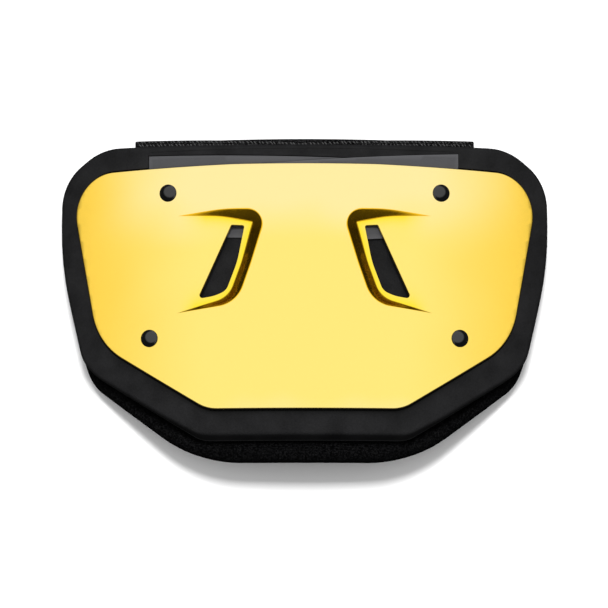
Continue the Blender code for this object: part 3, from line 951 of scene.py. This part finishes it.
class PadSettings(PropertyGroup):
    """Sizes and colours of the padded back."""

    step: length("Mesh Step", "Spacing of the pad's mesh points", 0.0036)
    shrink: length("Shrink", "How much smaller the cover is before it swells", 0.0008)
    cap: length("Swell Limit", "Furthest that a point of the cover may move as it swells", 0.0040)
    pressure: share("Pressure", "Pressure inside the cover as it swells", 4.0, 20.0)
    frames: number("Frames", "Frames that the swelling takes", 20, 2, 60)
    knit: length("Knit", "Width of one column of the knit", 0.0014)
    colour: colour("Colour", "Colour of the knit", (0.0004, 0.0004, 0.0005))
    speck_colour: colour("Speck Colour", "Colour of the knit's paler yarn", (0.0110, 0.0110, 0.0115))
    # The tab's paler yarn is partly its own colour and partly painted light on its upward face
    tab_colour: colour("Tab Colour", "Colour of the tab's paler yarn", (0.032, 0.032, 0.033))
    stitch_pitch: length("Stitch Pitch", "Distance between the stitches of the tab", 0.0027)
    seam_pitch: length("Seam Pitch", "Distance between the stitches of the back's seams", 0.0036)
    thread: length("Thread", "Thickness of the seams' thread", 0.0005)
    seam_colour: colour("Seam Colour", "Colour of the seams' thread", (0.030, 0.030, 0.031))
    stitch_colour: colour("Stitch Colour", "Colour of the tab's stitches", (0.065, 0.065, 0.065))


class RivetSettings(PropertyGroup):
    """Sizes and colours of the rivets."""

    sides: number("Sides", "Sides of each rivet", 48, 8, 96)
    colour: colour("Colour", "Colour of the rivets' paint", (0.0015, 0.0015, 0.0017))
    roughness: share("Roughness", "Blur of the rivets' reflections", 0.09)


class StudioSettings(PropertyGroup):
    """The stage, its light and the camera."""

    floor_colour: colour("Floor Colour", "Colour of the floor", (0.92, 0.92, 0.92))
    floor_size: length("Floor Size", "Length of the floor's sides", 12.0)
    dome: share("Dome", "Brightness of the light from above", 1.05, 10.0)
    horizon: share("Horizon", "Brightness of the light from the sides", 0.06, 10.0)
    lean: angle("Lean", "Lean of the light dome away from the camera", 20.0)
    key: share("Key", "Power of the large lamp, in watts", 44.0, 1000.0)
    lamp_size: length("Lamp Size", "Length of the large lamp's sides", 0.42)
    lens: FloatProperty(
        name="Lens",
        description="Focal length of the camera, in millimetres",
        default=135.0,
        min=10.0,
    )
    tilt: angle("Tilt", "Lean of the camera from straight above", 7.5)
    distance: length("Distance", "Distance from the camera to the object", 1.46376)


class BackPlateSettings(PropertyGroup):
    """All settings of the back plate."""

    shell: PointerProperty(type=ShellSettings)
    foam: PointerProperty(type=FoamSettings)
    straps: PointerProperty(type=StrapSettings)
    pad: PointerProperty(type=PadSettings)
    rivets: PointerProperty(type=RivetSettings)
    studio: PointerProperty(type=StudioSettings)


# Pieces


def add_piece(context, name, mesh, material, nodes=()):
    """Link a piece, give it its finish and its place in the frame."""
    item = bpy.data.objects.new(name, mesh)
    context.scene.collection.objects.link(item)
    mesh.materials.clear()
    mesh.materials.append(material)
    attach(item, "root")
    if nodes:
        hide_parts(*nodes)
    return item


def ease(share):
    """A wall's profile from 0 to 1, straight in the middle and rounded at both ends."""
    share = np.clip(share, 0.0, 1.0)
    slope = 1.0 / (1.0 - WALL_ROUND)
    start = slope * share**2 / (2 * WALL_ROUND)
    end = 1.0 - slope * (1.0 - share) ** 2 / (2 * WALL_ROUND)
    middle = slope * (share - WALL_ROUND / 2)
    lower = np.where(share > 1.0 - WALL_ROUND, end, middle)
    return np.where(share < WALL_ROUND, start, lower)


def vent_depth(places, side):
    """Depth of the shell's face in one vent, how far down its wall a place is, and how near its foot."""
    rim = vent_outline(VENT_RIM, side)
    floor = vent_outline(VENT_FLOOR, side)
    on_floor = inside(places, floor)
    on_wall = inside(places, rim) & ~on_floor
    to_rim = distance(places, vent_outline(VENT_RIM, side, False), False)
    to_floor = distance(places, vent_outline(VENT_FLOOR, side, False), False)
    at_floor = to_floor < TOUCHING * 10
    down = np.where(on_floor | at_floor, 1.0, to_rim / np.maximum(to_rim + to_floor, TOUCHING))
    sink = vent_sink(places)
    depth = np.where(on_floor | on_wall | at_floor, sink * ease(down), 0.0)
    # Share of painted reflection on the floor beside the wall's foot
    lip = np.exp(-((to_floor / LIP_REACH) ** LIP_FALL)) * np.clip(sink / (VENT_DEPTH * LIP_SINK), 0.0, 1.0)
    lip = np.where(on_floor | at_floor, lip, 0.0)
    return depth, np.where(on_wall | at_floor, down, 0.0), lip


def build_shell(context, settings):
    """The stamped shell, with rolled edges, two vents and a slot in each."""
    step = settings.step
    outline = spaced(plate_outline(), step)
    loops = [inset(outline, away) for away in roll_distances(settings.edge_roll)[1:]]
    slots = [spaced(vent_outline(VENT_SLOT, side), SLOT_STEP) for side in (-1, 1)]
    for slot in slots:
        loops += [inset(slot, -away) for away in roll_distances(settings.slot_roll, 3)[1:]]
    for side in (-1, 1):
        rim = resampled(vent_outline(VENT_RIM, side, False), WALL_POINTS)
        floor = resampled(vent_outline(VENT_FLOOR, side, False), WALL_POINTS)
        wide = np.linalg.norm(rim - floor, axis=1) > WALL_LEAST
        for down in WALL_ROWS:
            path = rim + (floor - rim) * down
            loops.append((path[wide] if 0.0 < down < 1.0 else path, False))
        loops.append((spaced(np.array((rim[0], rim[-1])), step, False), False))
    holes = slots + [circle(place, RIVET_SHANK_RADIUS + RIVET_CLEARANCE) for _, place in rivet_places()]
    places, triangles = fill(outline, loops, holes, step)
    front = roll(distance(places, outline), settings.edge_roll)
    sunk, down, lip = np.zeros((3, len(places)))
    for side, slot in zip((-1, 1), slots):
        vent = vent_depth(places, side)
        sunk, down, lip = sunk + vent[0], down + vent[1], lip + vent[2]
        front += roll(distance(places, slot), settings.slot_roll)
    back = sunk + PLATE_THICKNESS
    mesh = closed_mesh("stamped_shell", places, triangles, front + sunk, back, SHELL_CREASE)
    mark(mesh, "down", np.tile(down, 2))
    mark(mesh, "lip", np.tile(lip, 2))
    # Share of painted shade on the vents' side walls, growing below the vent's top
    flank_shade = np.clip((VENT_TOP - FLANK_SHADE_TOP - places[:, 1]) / FLANK_SHADE_FADE, 0.0, 1.0)
    mark(mesh, "flank_shade", np.tile(flank_shade, 2))
    middles = face_places(mesh)
    walls = np.zeros(len(middles), bool)
    for side in (-1, 1):
        in_rim = inside(middles, vent_outline(VENT_RIM, side))
        walls |= in_rim & ~inside(middles, vent_outline(VENT_FLOOR, side))
    mark(mesh, "wall", walls, "FACE")
    return add_piece(context, "stamped_shell", mesh, plated_gold(settings), ["hard_plate"])


def build_foam(context, settings):
    """The foam board: a rounded rim, a slanted foot, the straps' tray and the rivets' holes."""
    step = settings.step
    outline = spaced(foam_outline(), step * OUTLINE_STEP)
    outline = inset(outline, -FOAM_PROUD)
    rings = [*roll_distances(FOAM_RIM)[1:], *FOAM_RINGS]
    loops = [inset(outline, away) for away in rings]
    left = -strap_end() - TRAY_SIDE_CLEARANCE
    right = -left - RIGHT_STRAP_SHORTER
    corners = [(right, TRAY_TOP), (right, TRAY_BOTTOM), (left, TRAY_BOTTOM), (left, TRAY_TOP)]
    tray = spaced(rounded([(Vector(corner), TRAY_CORNER) for corner in corners]), step * OUTLINE_STEP)
    loops += [tray, inset(tray, TRAY_WALL)]
    across = np.linspace(left + TRAY_END, right - TRAY_END, TRAY_POINTS)
    for above in (TRAY_STEP_FOOT, TRAY_STEP_TOP):
        loops.append((np.column_stack((across, strap_top(across) + above)), False))
    holes = []
    seats = []
    for _, place in rivet_places():
        holes.append(circle(place, RIVET_SHANK_RADIUS + RIVET_CLEARANCE, RIVET_HOLE_SIDES))
        seat = circle(place, RIVET_TAIL_RADIUS + RIVET_CLEARANCE, RIVET_HOLE_SIDES)
        seats.append(seat)
        loops += [seat, inset(seat, -SEAT_WALL)]
    plate = spaced(plate_outline(), step * OUTLINE_STEP)
    for more in (0.0, BED_WALL, BED_SHADE * 0.4, BED_SHADE):
        loops.append(inset(plate, -BED_MARGIN - more))
    loops += [inset(plate, BED_REACH), inset(plate, BED_REACH + BED_SLOPE)]
    places, triangles = fill(outline, loops, holes, step, (PLATE_HALF_HEIGHT, VENT_TOP + GAP))
    away = distance(places, outline)
    slant = FOAM_SLANT * slant_share(places[:, 1])
    rim = FOAM_RIM + (FOAM_SLANT_RIM - FOAM_RIM) * slant_share(places[:, 1])
    low = FOAM_BACK - FOAM_RIM - 0.0005
    climb = np.clip(away / np.maximum(slant, TOUCHING), 0.0, 1.0)
    slanted = low + (FOAM_FRONT + rim - low) * climb
    front = np.where(away < slant, slanted, FOAM_FRONT + roll(away - slant, rim))
    beyond = np.where(inside(places, plate), 0.0, distance(places, plate))
    under = np.where(inside(places, plate), distance(places, plate), 0.0)
    bed_and_shadow = np.clip((BED_MARGIN + BED_WALL - beyond) / BED_WALL, 0.0, 1.0)
    front += BED_DEPTH * bed_and_shadow * np.clip((BED_REACH + BED_SLOPE - under) / BED_SLOPE, 0.0, 1.0)
    in_tray = np.where(inside(places, tray), distance(places, tray), 0.0)
    below = np.clip((strap_top(places[:, 0]) + TRAY_STEP_TOP - places[:, 1]) / TRAY_STEP, 0.0, 1.0)
    tray_depth = TRAY_SHALLOW + (TRAY_DEPTH - TRAY_SHALLOW) * below + strap_sink(places[:, 1])
    front += tray_depth * np.clip(in_tray / TRAY_WALL, 0.0, 1.0)
    back = FOAM_BACK - roll(away, FOAM_RIM)
    for seat in seats:
        seated = inside(places, seat) | (distance(places, seat) < SEAT_EDGE)
        back = np.where(seated, FOAM_BACK - RIVET_TAIL_THICKNESS - 2 * GAP, back)
    mesh = closed_mesh("foam_board", places, triangles, front, back, SOFT_CREASE)
    # Painted shade on the foam beside the bed, below the shell's lower edge, fading away from it
    lower = np.clip((BED_SHADE_TOP - places[:, 1]) / BED_SHADE_FADE, 0.0, 1.0)
    fading = np.exp(-np.clip(beyond - BED_MARGIN, 0.0, 1.0) / BED_SHADE * 2)
    mark(mesh, "bed_and_shadow", np.tile(lower * fading, 2))
    # Painted highlight along the foam's back edge at the slanted foot
    line = np.clip(1.0 - away / EDGE_HIGHLIGHT, 0.0, 1.0)
    mark(mesh, "edge", np.tile(line * np.minimum(1.0, 2 * slant_share(places[:, 1])), 2))
    item = add_piece(context, "foam_board", mesh, moulded_foam(settings), ["foam_base"])
    return item


def build_strap(context, settings, row, material):
    """A webbing strap that runs from beyond its rivet to past the middle."""
    word, side, layer, fall, rise = row
    shorter = RIGHT_STRAP_SHORTER if side > 0 else 0.0
    outer, inner = side * (strap_end() - shorter), -side * STRAP_OVERREACH
    top = PLATE_HALF_HEIGHT + rise * STRAP_WIDTH - fall * shorter
    drop = fall * abs(outer - inner)
    bottom = top - STRAP_WIDTH
    corners = [(outer, top), (outer, bottom), (inner, bottom - drop), (inner, top - drop)]
    outline = spaced(np.array(corners), settings.step * OUTLINE_STEP)
    edge = STRAP_THICKNESS * STRAP_EDGE
    loops = [inset(outline, away) for away in roll_distances(edge, 3)[1:]]
    # Extra rows for the painted shadow beside the right strap's edge
    if layer:
        across = np.linspace(*CROSSING_SPAN, CROSSING_POINTS)
        for above in (0.0, CROSSING_SHADE / 2, CROSSING_SHADE):
            loops.append((np.column_stack((across, crossing_edge(across) + above)), False))
    holes = []
    for name, place in rivet_places():
        if name.startswith("upper") and place[0] * side > 0:
            holes.append(circle(place, RIVET_SHANK_RADIUS + RIVET_CLEARANCE, RIVET_HOLE_SIDES))
    places, triangles = fill(outline, loops, holes, settings.step, (PLATE_HALF_HEIGHT, VENT_TOP + GAP))
    away = distance(places, outline)
    depth = FOAM_FRONT + layer * STRAP_PITCH + strap_sink(places[:, 1])
    front = depth + roll(away, edge)
    back = depth + STRAP_THICKNESS - roll(away, edge)
    mesh = closed_mesh(f"webbing_{word}", places, triangles, front, back, SOFT_CREASE)
    mark(mesh, "pale_edge", np.tile(np.clip(1.0 - away / PALE_EDGE, 0.0, 1.0), 2))
    # Painted shadow on the left strap just above the right strap's upper edge
    above = places[:, 1] - crossing_edge(places[:, 0])
    near = (above > -CROSSING_BELOW) & (abs(places[:, 0]) < STRAP_OVERREACH)
    shade = layer * near * np.clip(1.0 - above / CROSSING_SHADE, 0.0, 1.0)
    mark(mesh, "crossing", np.tile(shade, 2))
    item = add_piece(context, f"webbing_{word}", mesh, material, [f"strap_{word}"])
    return item


def points_of(mesh):
    """A mesh's points as an array."""
    points = np.zeros(len(mesh.vertices) * 3)
    mesh.vertices.foreach_get("co", points)
    return points.reshape(-1, 3)


def put_points(mesh, points):
    """Move a mesh's points to an array of places."""
    mesh.vertices.foreach_set("co", points.ravel())
    mesh.update()


def normals_of(mesh):
    """A mesh's point normals as an array."""
    normals = np.zeros(len(mesh.vertices) * 3)
    mesh.vertices.foreach_get("normal", normals)
    return normals.reshape(-1, 3)


def swell(item, settings, away):
    """Let the cover swell under pressure, held where it meets the foam, and keep its shape."""
    start = points_of(item.data)
    depth = unwrapped_depth(start)
    held = (depth < PAD_FRONT + HELD_DEPTH) | (start[:, 1] + MIDDLE_ALONG > FOAM_TOP - HELD_TOP)
    group = item.vertex_groups.new(name="held")
    group.add(np.flatnonzero(held).tolist(), 1.0, "REPLACE")
    shrunk = start - normals_of(item.data) * np.where(held, 0.0, settings.shrink)[:, None]
    put_points(item.data, shrunk)
    cloth = item.modifiers.new("swell", "CLOTH")
    cloth.settings.quality = 4
    cloth.settings.use_pressure = True
    cloth.settings.uniform_pressure_force = settings.pressure
    cloth.settings.effector_weights.gravity = 0.0
    cloth.settings.vertex_group_mass = "held"
    cloth.collision_settings.use_collision = False
    cloth.point_cache.frame_start = 1
    cloth.point_cache.frame_end = settings.frames
    for number in range(1, settings.frames + 1):
        bpy.context.scene.frame_set(number)
    evaluated = item.evaluated_get(bpy.context.evaluated_depsgraph_get())
    swollen = points_of(evaluated.to_mesh())
    evaluated.to_mesh_clear()
    item.modifiers.clear()
    item.vertex_groups.clear()
    bpy.context.scene.frame_set(1)
    moved = swollen - start
    cap = settings.cap * np.clip((away - SWELL_START) / SWELL_RUN, 0.0, 1.0)
    moved *= np.minimum(1.0, cap / np.maximum(np.linalg.norm(moved, axis=1), TOUCHING))[:, None]
    put_points(item.data, start + moved)


def seam_lines():
    """Flat lines of the seams on the back of the pad."""
    outline = pad_outline()
    around = spaced(inset(outline, SEAM_INSET), SEAM_STEP)
    around = around[distance(around, outline) > SEAM_LEAST]
    lines = [(around, True)]
    for side in (-1, 1):
        ends = [(side * SPINE, PAD_TOP - SPINE_TOP), (side * SPINE, SEAM_INSET - PAD_BOTTOM)]
        lines.append((np.array(ends), False))
    return lines


def press_seams(item, settings):
    """Draw the cover in along the seams of the back, and keep it off the foam and the floor."""
    points = points_of(item.data)
    normals = normals_of(item.data)
    height = points[:, 2] - CROWN_HEIGHT + ARC_RADIUS
    across = np.arctan2(points[:, 0], height) * ARC_RADIUS
    places = np.column_stack((across, points[:, 1] + MIDDLE_ALONG))
    away = np.full(len(points), np.inf)
    for line, closed in seam_lines():
        away = np.minimum(away, distance(places, line, closed))
    behind = np.clip((-normals[:, 2] - 0.3) / 0.4, 0.0, 1.0)
    drawn = SEAM_DRAW * np.exp(-((away / SEAM_WIDTH) ** 2)) * behind
    points -= normals * drawn[:, None]
    depth = unwrapped_depth(points)
    short = np.clip(PAD_FRONT - depth, 0.0, None)
    direction = np.column_stack((points[:, 0], np.zeros(len(points)), height))
    direction /= np.linalg.norm(direction, axis=1)[:, None]
    points -= direction * short[:, None]
    points[:, 2] = np.maximum(points[:, 2], settings.thread)
    put_points(item.data, points)


def thread_mesh(name, stitches, radius, sides=6, bands=5):
    """Short bowed lengths of thread, each from one point to another."""
    points, faces = [], []
    for start, end, up in stitches:
        run = end - start
        side = run.cross(up).normalized()
        first = len(points)
        for band in range(bands + 1):
            share_along = band / bands
            lift = math.sin(math.pi * share_along)
            centre = start + run * share_along + up * (radius * (0.9 * lift - 0.3))
            width = radius * max(0.35, lift**0.4)
            for index in range(sides):
                angle = 2 * math.pi * index / sides
                points.append(centre + (side * math.cos(angle) + up * math.sin(angle)) * width)
        for band in range(bands):
            for index in range(sides):
                a = first + band * sides + index
                b = first + band * sides + (index + 1) % sides
                faces.append((a, b, b + sides, a + sides))
        faces.append(tuple(first + index for index in range(sides)))
        faces.append(tuple(first + bands * sides + index for index in reversed(range(sides))))
    mesh = bpy.data.meshes.new(name)
    mesh.from_pydata([point[:] for point in points], [], faces)
    work = bmesh.new()
    work.from_mesh(mesh)
    bmesh.ops.recalc_face_normals(work, faces=work.faces)
    work.to_mesh(mesh)
    work.free()
    mesh.shade_smooth()
    return mesh


def on_cover(item, place, depth):
    """The cover's nearest point and normal to a flat place and depth."""
    spot = Vector(wrap(np.array([place]), np.array([depth]))[0])
    _, point, normal, _ = item.closest_point_on_mesh(spot)
    return point, normal


def seam_stitches(item, settings):
    """Stitches along the seams of the pad's back."""
    stitches = []
    for line, closed in seam_lines():
        if closed:
            line = np.vstack((line, line[:1]))
        total = np.sum(np.linalg.norm(np.diff(line, axis=0), axis=1))
        marks = resampled(line, max(2, round(total / settings.seam_pitch)))
        for here, ahead in zip(marks[:-1], marks[1:]):
            behind = PAD_FRONT + PAD_THICKNESS
            start, up = on_cover(item, here, behind)
            end, _ = on_cover(item, here + (ahead - here) * SEAM_STITCH, behind)
            if (end - start).length > settings.thread:
                stitches.append((start, end, up))
    return thread_mesh("seam_stitches", stitches, settings.thread / 2)


def edge_stitches(item, settings):
    """Two rows of slanted stitches that bind the tab's edge."""
    stitches = []
    half = PAD_CORNERS[1][1] * PAD_HALF_WIDTH - TAB_END
    within = PAD_FRONT - 0.001
    crown = PAD_CORNERS[0][2]
    count = int(2 * half / settings.stitch_pitch)
    for index in range(count):
        for row, (low, shift) in enumerate(TAB_ROWS):
            across = -half + 2 * half * (index + shift) / count
            top = PAD_TOP * (crown + (1.0 - crown) * abs(across) / half)
            wander = TAB_WANDER * math.sin(index * 2.4 + row * 1.7)
            long = TAB_STITCH + TAB_STITCH_CHANGE * math.sin(index * 1.3 + row)
            start, up = on_cover(item, (across - long + wander, top - low + long), within)
            end, _ = on_cover(item, (across + long + wander, top - low - long), within)
            if (end - start).length > settings.thread:
                stitches.append((start, end, up))
    return thread_mesh("edge_stitches", stitches, settings.thread * TAB_THREAD)


def build_pad(context, settings):
    """The knit-covered pad, swollen under its cover, with its seams and stitches."""
    step = settings.step
    outline = spaced(pad_outline(), step * PAD_OUTLINE_STEP)
    rings = sorted(roll_distances(PAD_RIM)[1:] + [TAB_RIM * 0.4, TAB_RIM])
    places, triangles = fill(outline, [inset(outline, away) for away in rings], [], step)
    away = distance(places, outline)
    tab = np.clip((places[:, 1] - PAD_TOP * TAB_START) / TAB_FADE, 0.0, 1.0)
    rim = PAD_RIM + (TAB_RIM - PAD_RIM) * tab
    thickness = PAD_THICKNESS - PAD_EDGE_THINNING * (places[:, 0] / PAD_HALF_WIDTH) ** 2
    front = PAD_FRONT + roll(away, rim)
    back = PAD_FRONT + thickness - roll(away, PAD_RIM)
    mesh = closed_mesh("knit_pad", places, triangles, front, back, PAD_CREASE)
    mark(mesh, "tab", np.tile(tab, 2))
    # Painted shade on the pad within a few millimetres beyond the foam's edge
    board = foam_outline()
    beyond = np.where(inside(places, board), 0.0, distance(places, board))
    mark(mesh, "tuck_shade", np.tile(np.clip((TUCK_SHADE - beyond) / (TUCK_SHADE * TUCK_SHADE_FADE), 0.0, 1.0), 2))
    item = add_piece(context, "knit_pad", mesh, knit_fabric(settings), ["back_pad"])
    swell(item, settings, np.tile(away, 2))
    press_seams(item, settings)
    item.data.shade_smooth()
    seams = spun_thread("seam_thread", settings.seam_colour)
    add_piece(context, "seam_stitches", seam_stitches(item, settings), seams)
    binding = spun_thread("binding_thread", settings.stitch_colour)
    add_piece(context, "edge_stitches", edge_stitches(item, settings), binding)
    return item


def build_rivet(context, settings, name, place, material):
    """A rivet with a domed head on a low collar, a shank and a clinched tail."""
    tail_back = FOAM_BACK - GAP
    tail_front = tail_back - RIVET_TAIL_THICKNESS
    top = GAP + RIVET_HEAD_HEIGHT
    ball = (RIVET_HEAD_RADIUS - RIVET_RIM) / math.sin(RIVET_SLOPE)
    profile = []
    for step in range(RIVET_DOME_STEPS + 1):
        turn = RIVET_SLOPE * step / RIVET_DOME_STEPS
        profile.append((ball * math.sin(turn), top - ball * (1 - math.cos(turn))))
    low = profile[-1][1]
    for step in range(1, RIVET_RIM_STEPS + 1):
        turn = RIVET_SLOPE + (math.pi / 2 - RIVET_SLOPE) * step / RIVET_RIM_STEPS
        reach = (math.sin(turn) - math.sin(RIVET_SLOPE)) / (1 - math.sin(RIVET_SLOPE))
        drop = (math.cos(RIVET_SLOPE) - math.cos(turn)) / math.cos(RIVET_SLOPE)
        radius = RIVET_HEAD_RADIUS - RIVET_RIM * (1 - reach)
        profile.append((radius, low - RIVET_RIM * RIVET_RIM_DROP * drop))
    profile += [(RIVET_HEAD_RADIUS, GAP), (RIVET_SHANK_RADIUS, GAP)]
    profile += [(RIVET_SHANK_RADIUS, -tail_front), (RIVET_TAIL_RADIUS, -tail_front)]
    profile += [(RIVET_TAIL_RADIUS, -tail_back), (0.0, -tail_back)]
    work = bmesh.new()
    line = [work.verts.new((radius, 0.0, height)) for radius, height in profile]
    edges = [work.edges.new(pair) for pair in zip(line[:-1], line[1:])]
    bmesh.ops.spin(
        work,
        geom=line + edges,
        axis=(0, 0, 1),
        cent=(0, 0, 0),
        dvec=(0, 0, 0),
        angle=2 * math.pi,
        steps=settings.sides,
        use_merge=True,
    )
    bmesh.ops.remove_doubles(work, verts=work.verts, dist=TOUCHING * 10)
    bmesh.ops.recalc_face_normals(work, faces=work.faces)
    turned = Matrix.Rotation(place[0] / ARC_RADIUS, 4, "Y")
    spot = Vector(wrap(np.array([place]), np.zeros(1))[0])
    bmesh.ops.transform(work, matrix=Matrix.Translation(spot) @ turned, verts=work.verts)
    mesh = bpy.data.meshes.new(name)
    work.to_mesh(mesh)
    work.free()
    mesh.shade_smooth()
    mesh.set_sharp_from_angle(angle=math.radians(RIVET_CREASE))
    return add_piece(context, f"domed_rivet_{name}", mesh, material, [f"rivet_{name}"])


def build_floor(context, settings):
    """The floor, which the camera sees but the part doesn't reflect."""
    half = settings.floor_size / 2
    mesh = bpy.data.meshes.new("studio_floor")
    corners = [(-half, -half, 0), (half, -half, 0), (half, half, 0), (-half, half, 0)]
    mesh.from_pydata(corners, [], [(0, 1, 2, 3)])
    mesh.materials.append(studio_floor(settings))
    floor = bpy.data.objects.new("studio_floor", mesh)
    floor.location.z = FLOOR_HEIGHT
    floor.visible_diffuse = False
    floor.visible_glossy = False
    context.scene.collection.objects.link(floor)


def build_dome(context, settings):
    """A light dome, bright from above and dim from the sides, that leans a little."""
    world = bpy.data.worlds.new("studio_dome")
    context.scene.world = world
    world.use_nodes = True
    tree = world.node_tree
    background = tree.nodes["Background"]
    coordinate = tree.nodes.new("ShaderNodeTexCoord")
    height = tree.nodes.new("ShaderNodeVectorMath")
    height.operation = "DOT_PRODUCT"
    height.inputs[1].default_value = (0.0, math.sin(settings.lean), math.cos(settings.lean))
    ramp = tree.nodes.new("ShaderNodeMapRange")
    ramp.interpolation_type = "SMOOTHSTEP"
    for socket, value in zip(ramp.inputs[1:5], (*DOME_EDGE, settings.horizon, settings.dome)):
        socket.default_value = value
    tree.links.new(coordinate.outputs["Generated"], height.inputs[0])
    tree.links.new(height.outputs["Value"], ramp.inputs[0])
    tree.links.new(ramp.outputs[0], background.inputs["Strength"])
    background.inputs["Color"].default_value = (1.0, 1.0, 1.0, 1.0)


def build_softbox(context, settings):
    """A large lamp above the part's top edge."""
    lamp = bpy.data.lights.new("softbox", "AREA")
    lamp.energy = settings.key
    lamp.size = settings.lamp_size
    softbox = bpy.data.objects.new("softbox", lamp)
    softbox.visible_glossy = False
    softbox.location = SOFTBOX_PLACE
    softbox.rotation_euler = (-Vector(softbox.location)).to_track_quat("-Z", "Y").to_euler()
    context.scene.collection.objects.link(softbox)


def build_camera(context, settings):
    """The camera, looking down on the part."""
    camera_data = bpy.data.cameras.new("camera")
    camera_data.lens = settings.lens
    camera_data.sensor_width = CAMERA_SENSOR
    camera_data.shift_x, camera_data.shift_y = CAMERA_SHIFT
    camera = bpy.data.objects.new("camera", camera_data)
    target = Vector((0.0, CAMERA_TARGET, CROWN_HEIGHT))
    backward = Vector((0.0, -math.sin(settings.tilt), math.cos(settings.tilt)))
    camera.location = target + backward * settings.distance
    camera.rotation_euler = (settings.tilt, 0.0, 0.0)
    context.scene.collection.objects.link(camera)
    context.scene.camera = camera
    context.scene.view_settings.view_transform = "Standard"


# Operators


class BACKPLATE_OT_shell(Operator):
    """Build the stamped gold shell"""

    bl_idname = "backplate.shell"
    bl_label = "Shell"

    def execute(self, context):
        build_shell(context, context.scene.back_plate.shell)
        return {"FINISHED"}


class BACKPLATE_OT_foam(Operator):
    """Build the foam board with the straps' tray"""

    bl_idname = "backplate.foam"
    bl_label = "Foam Board"

    def execute(self, context):
        build_foam(context, context.scene.back_plate.foam)
        return {"FINISHED"}


class BACKPLATE_OT_straps(Operator):
    """Build the two webbing straps"""

    bl_idname = "backplate.straps"
    bl_label = "Straps"

    def execute(self, context):
        settings = context.scene.back_plate.straps
        material = woven_webbing(settings)
        for row in STRAPS:
            build_strap(context, settings, row, material)
        return {"FINISHED"}


class BACKPLATE_OT_pad(Operator):
    """Build the knit-covered pad and its stitching"""

    bl_idname = "backplate.pad"
    bl_label = "Pad"

    def execute(self, context):
        build_pad(context, context.scene.back_plate.pad)
        return {"FINISHED"}


class BACKPLATE_OT_rivets(Operator):
    """Build the four domed rivets"""

    bl_idname = "backplate.rivets"
    bl_label = "Rivets"

    def execute(self, context):
        settings = context.scene.back_plate.rivets
        material = painted_black(settings)
        for name, place in rivet_places():
            build_rivet(context, settings, name, place, material)
        return {"FINISHED"}


class BACKPLATE_OT_stage(Operator):
    """Set up the floor, the light and the camera"""

    bl_idname = "backplate.stage"
    bl_label = "Stage"

    def execute(self, context):
        for build in (build_floor, build_dome, build_softbox, build_camera):
            build(context, context.scene.back_plate.studio)
        return {"FINISHED"}


OPERATORS = (
    BACKPLATE_OT_shell,
    BACKPLATE_OT_foam,
    BACKPLATE_OT_straps,
    BACKPLATE_OT_pad,
    BACKPLATE_OT_rivets,
    BACKPLATE_OT_stage,
)


class BACKPLATE_PT_panel(Panel):
    """Lists the pieces of the back plate and their settings"""

    bl_idname = "BACKPLATE_PT_panel"
    bl_label = "Back Plate"
    bl_space_type = "VIEW_3D"
    bl_region_type = "UI"
    bl_category = "Back Plate"

    def draw(self, context):
        settings = context.scene.back_plate
        for operator, name in zip(OPERATORS, ("shell", "foam", "straps", "pad", "rivets", "studio")):
            group = getattr(settings, name)
            box = self.layout.box()
            box.operator(operator.bl_idname)
            for setting in group.bl_rna.properties.keys():
                if setting not in ("rna_type", "name"):
                    box.prop(group, setting)


CLASSES = (
    ShellSettings,
    FoamSettings,
    StrapSettings,
    PadSettings,
    RivetSettings,
    StudioSettings,
    BackPlateSettings,
    *OPERATORS,
    BACKPLATE_PT_panel,
)


def register():
    for item in CLASSES:
        bpy.utils.register_class(item)
    bpy.types.Scene.back_plate = PointerProperty(type=BackPlateSettings)


def unregister():
    del bpy.types.Scene.back_plate
    for item in reversed(CLASSES):
        bpy.utils.unregister_class(item)


def main():
    """Build every piece in order."""
    register()
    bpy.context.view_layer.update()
    bpy.ops.backplate.shell()
    bpy.ops.backplate.foam()
    bpy.ops.backplate.straps()
    bpy.ops.backplate.pad()
    bpy.ops.backplate.rivets()
    bpy.ops.backplate.stage()


if __name__ == "__main__":
    main()
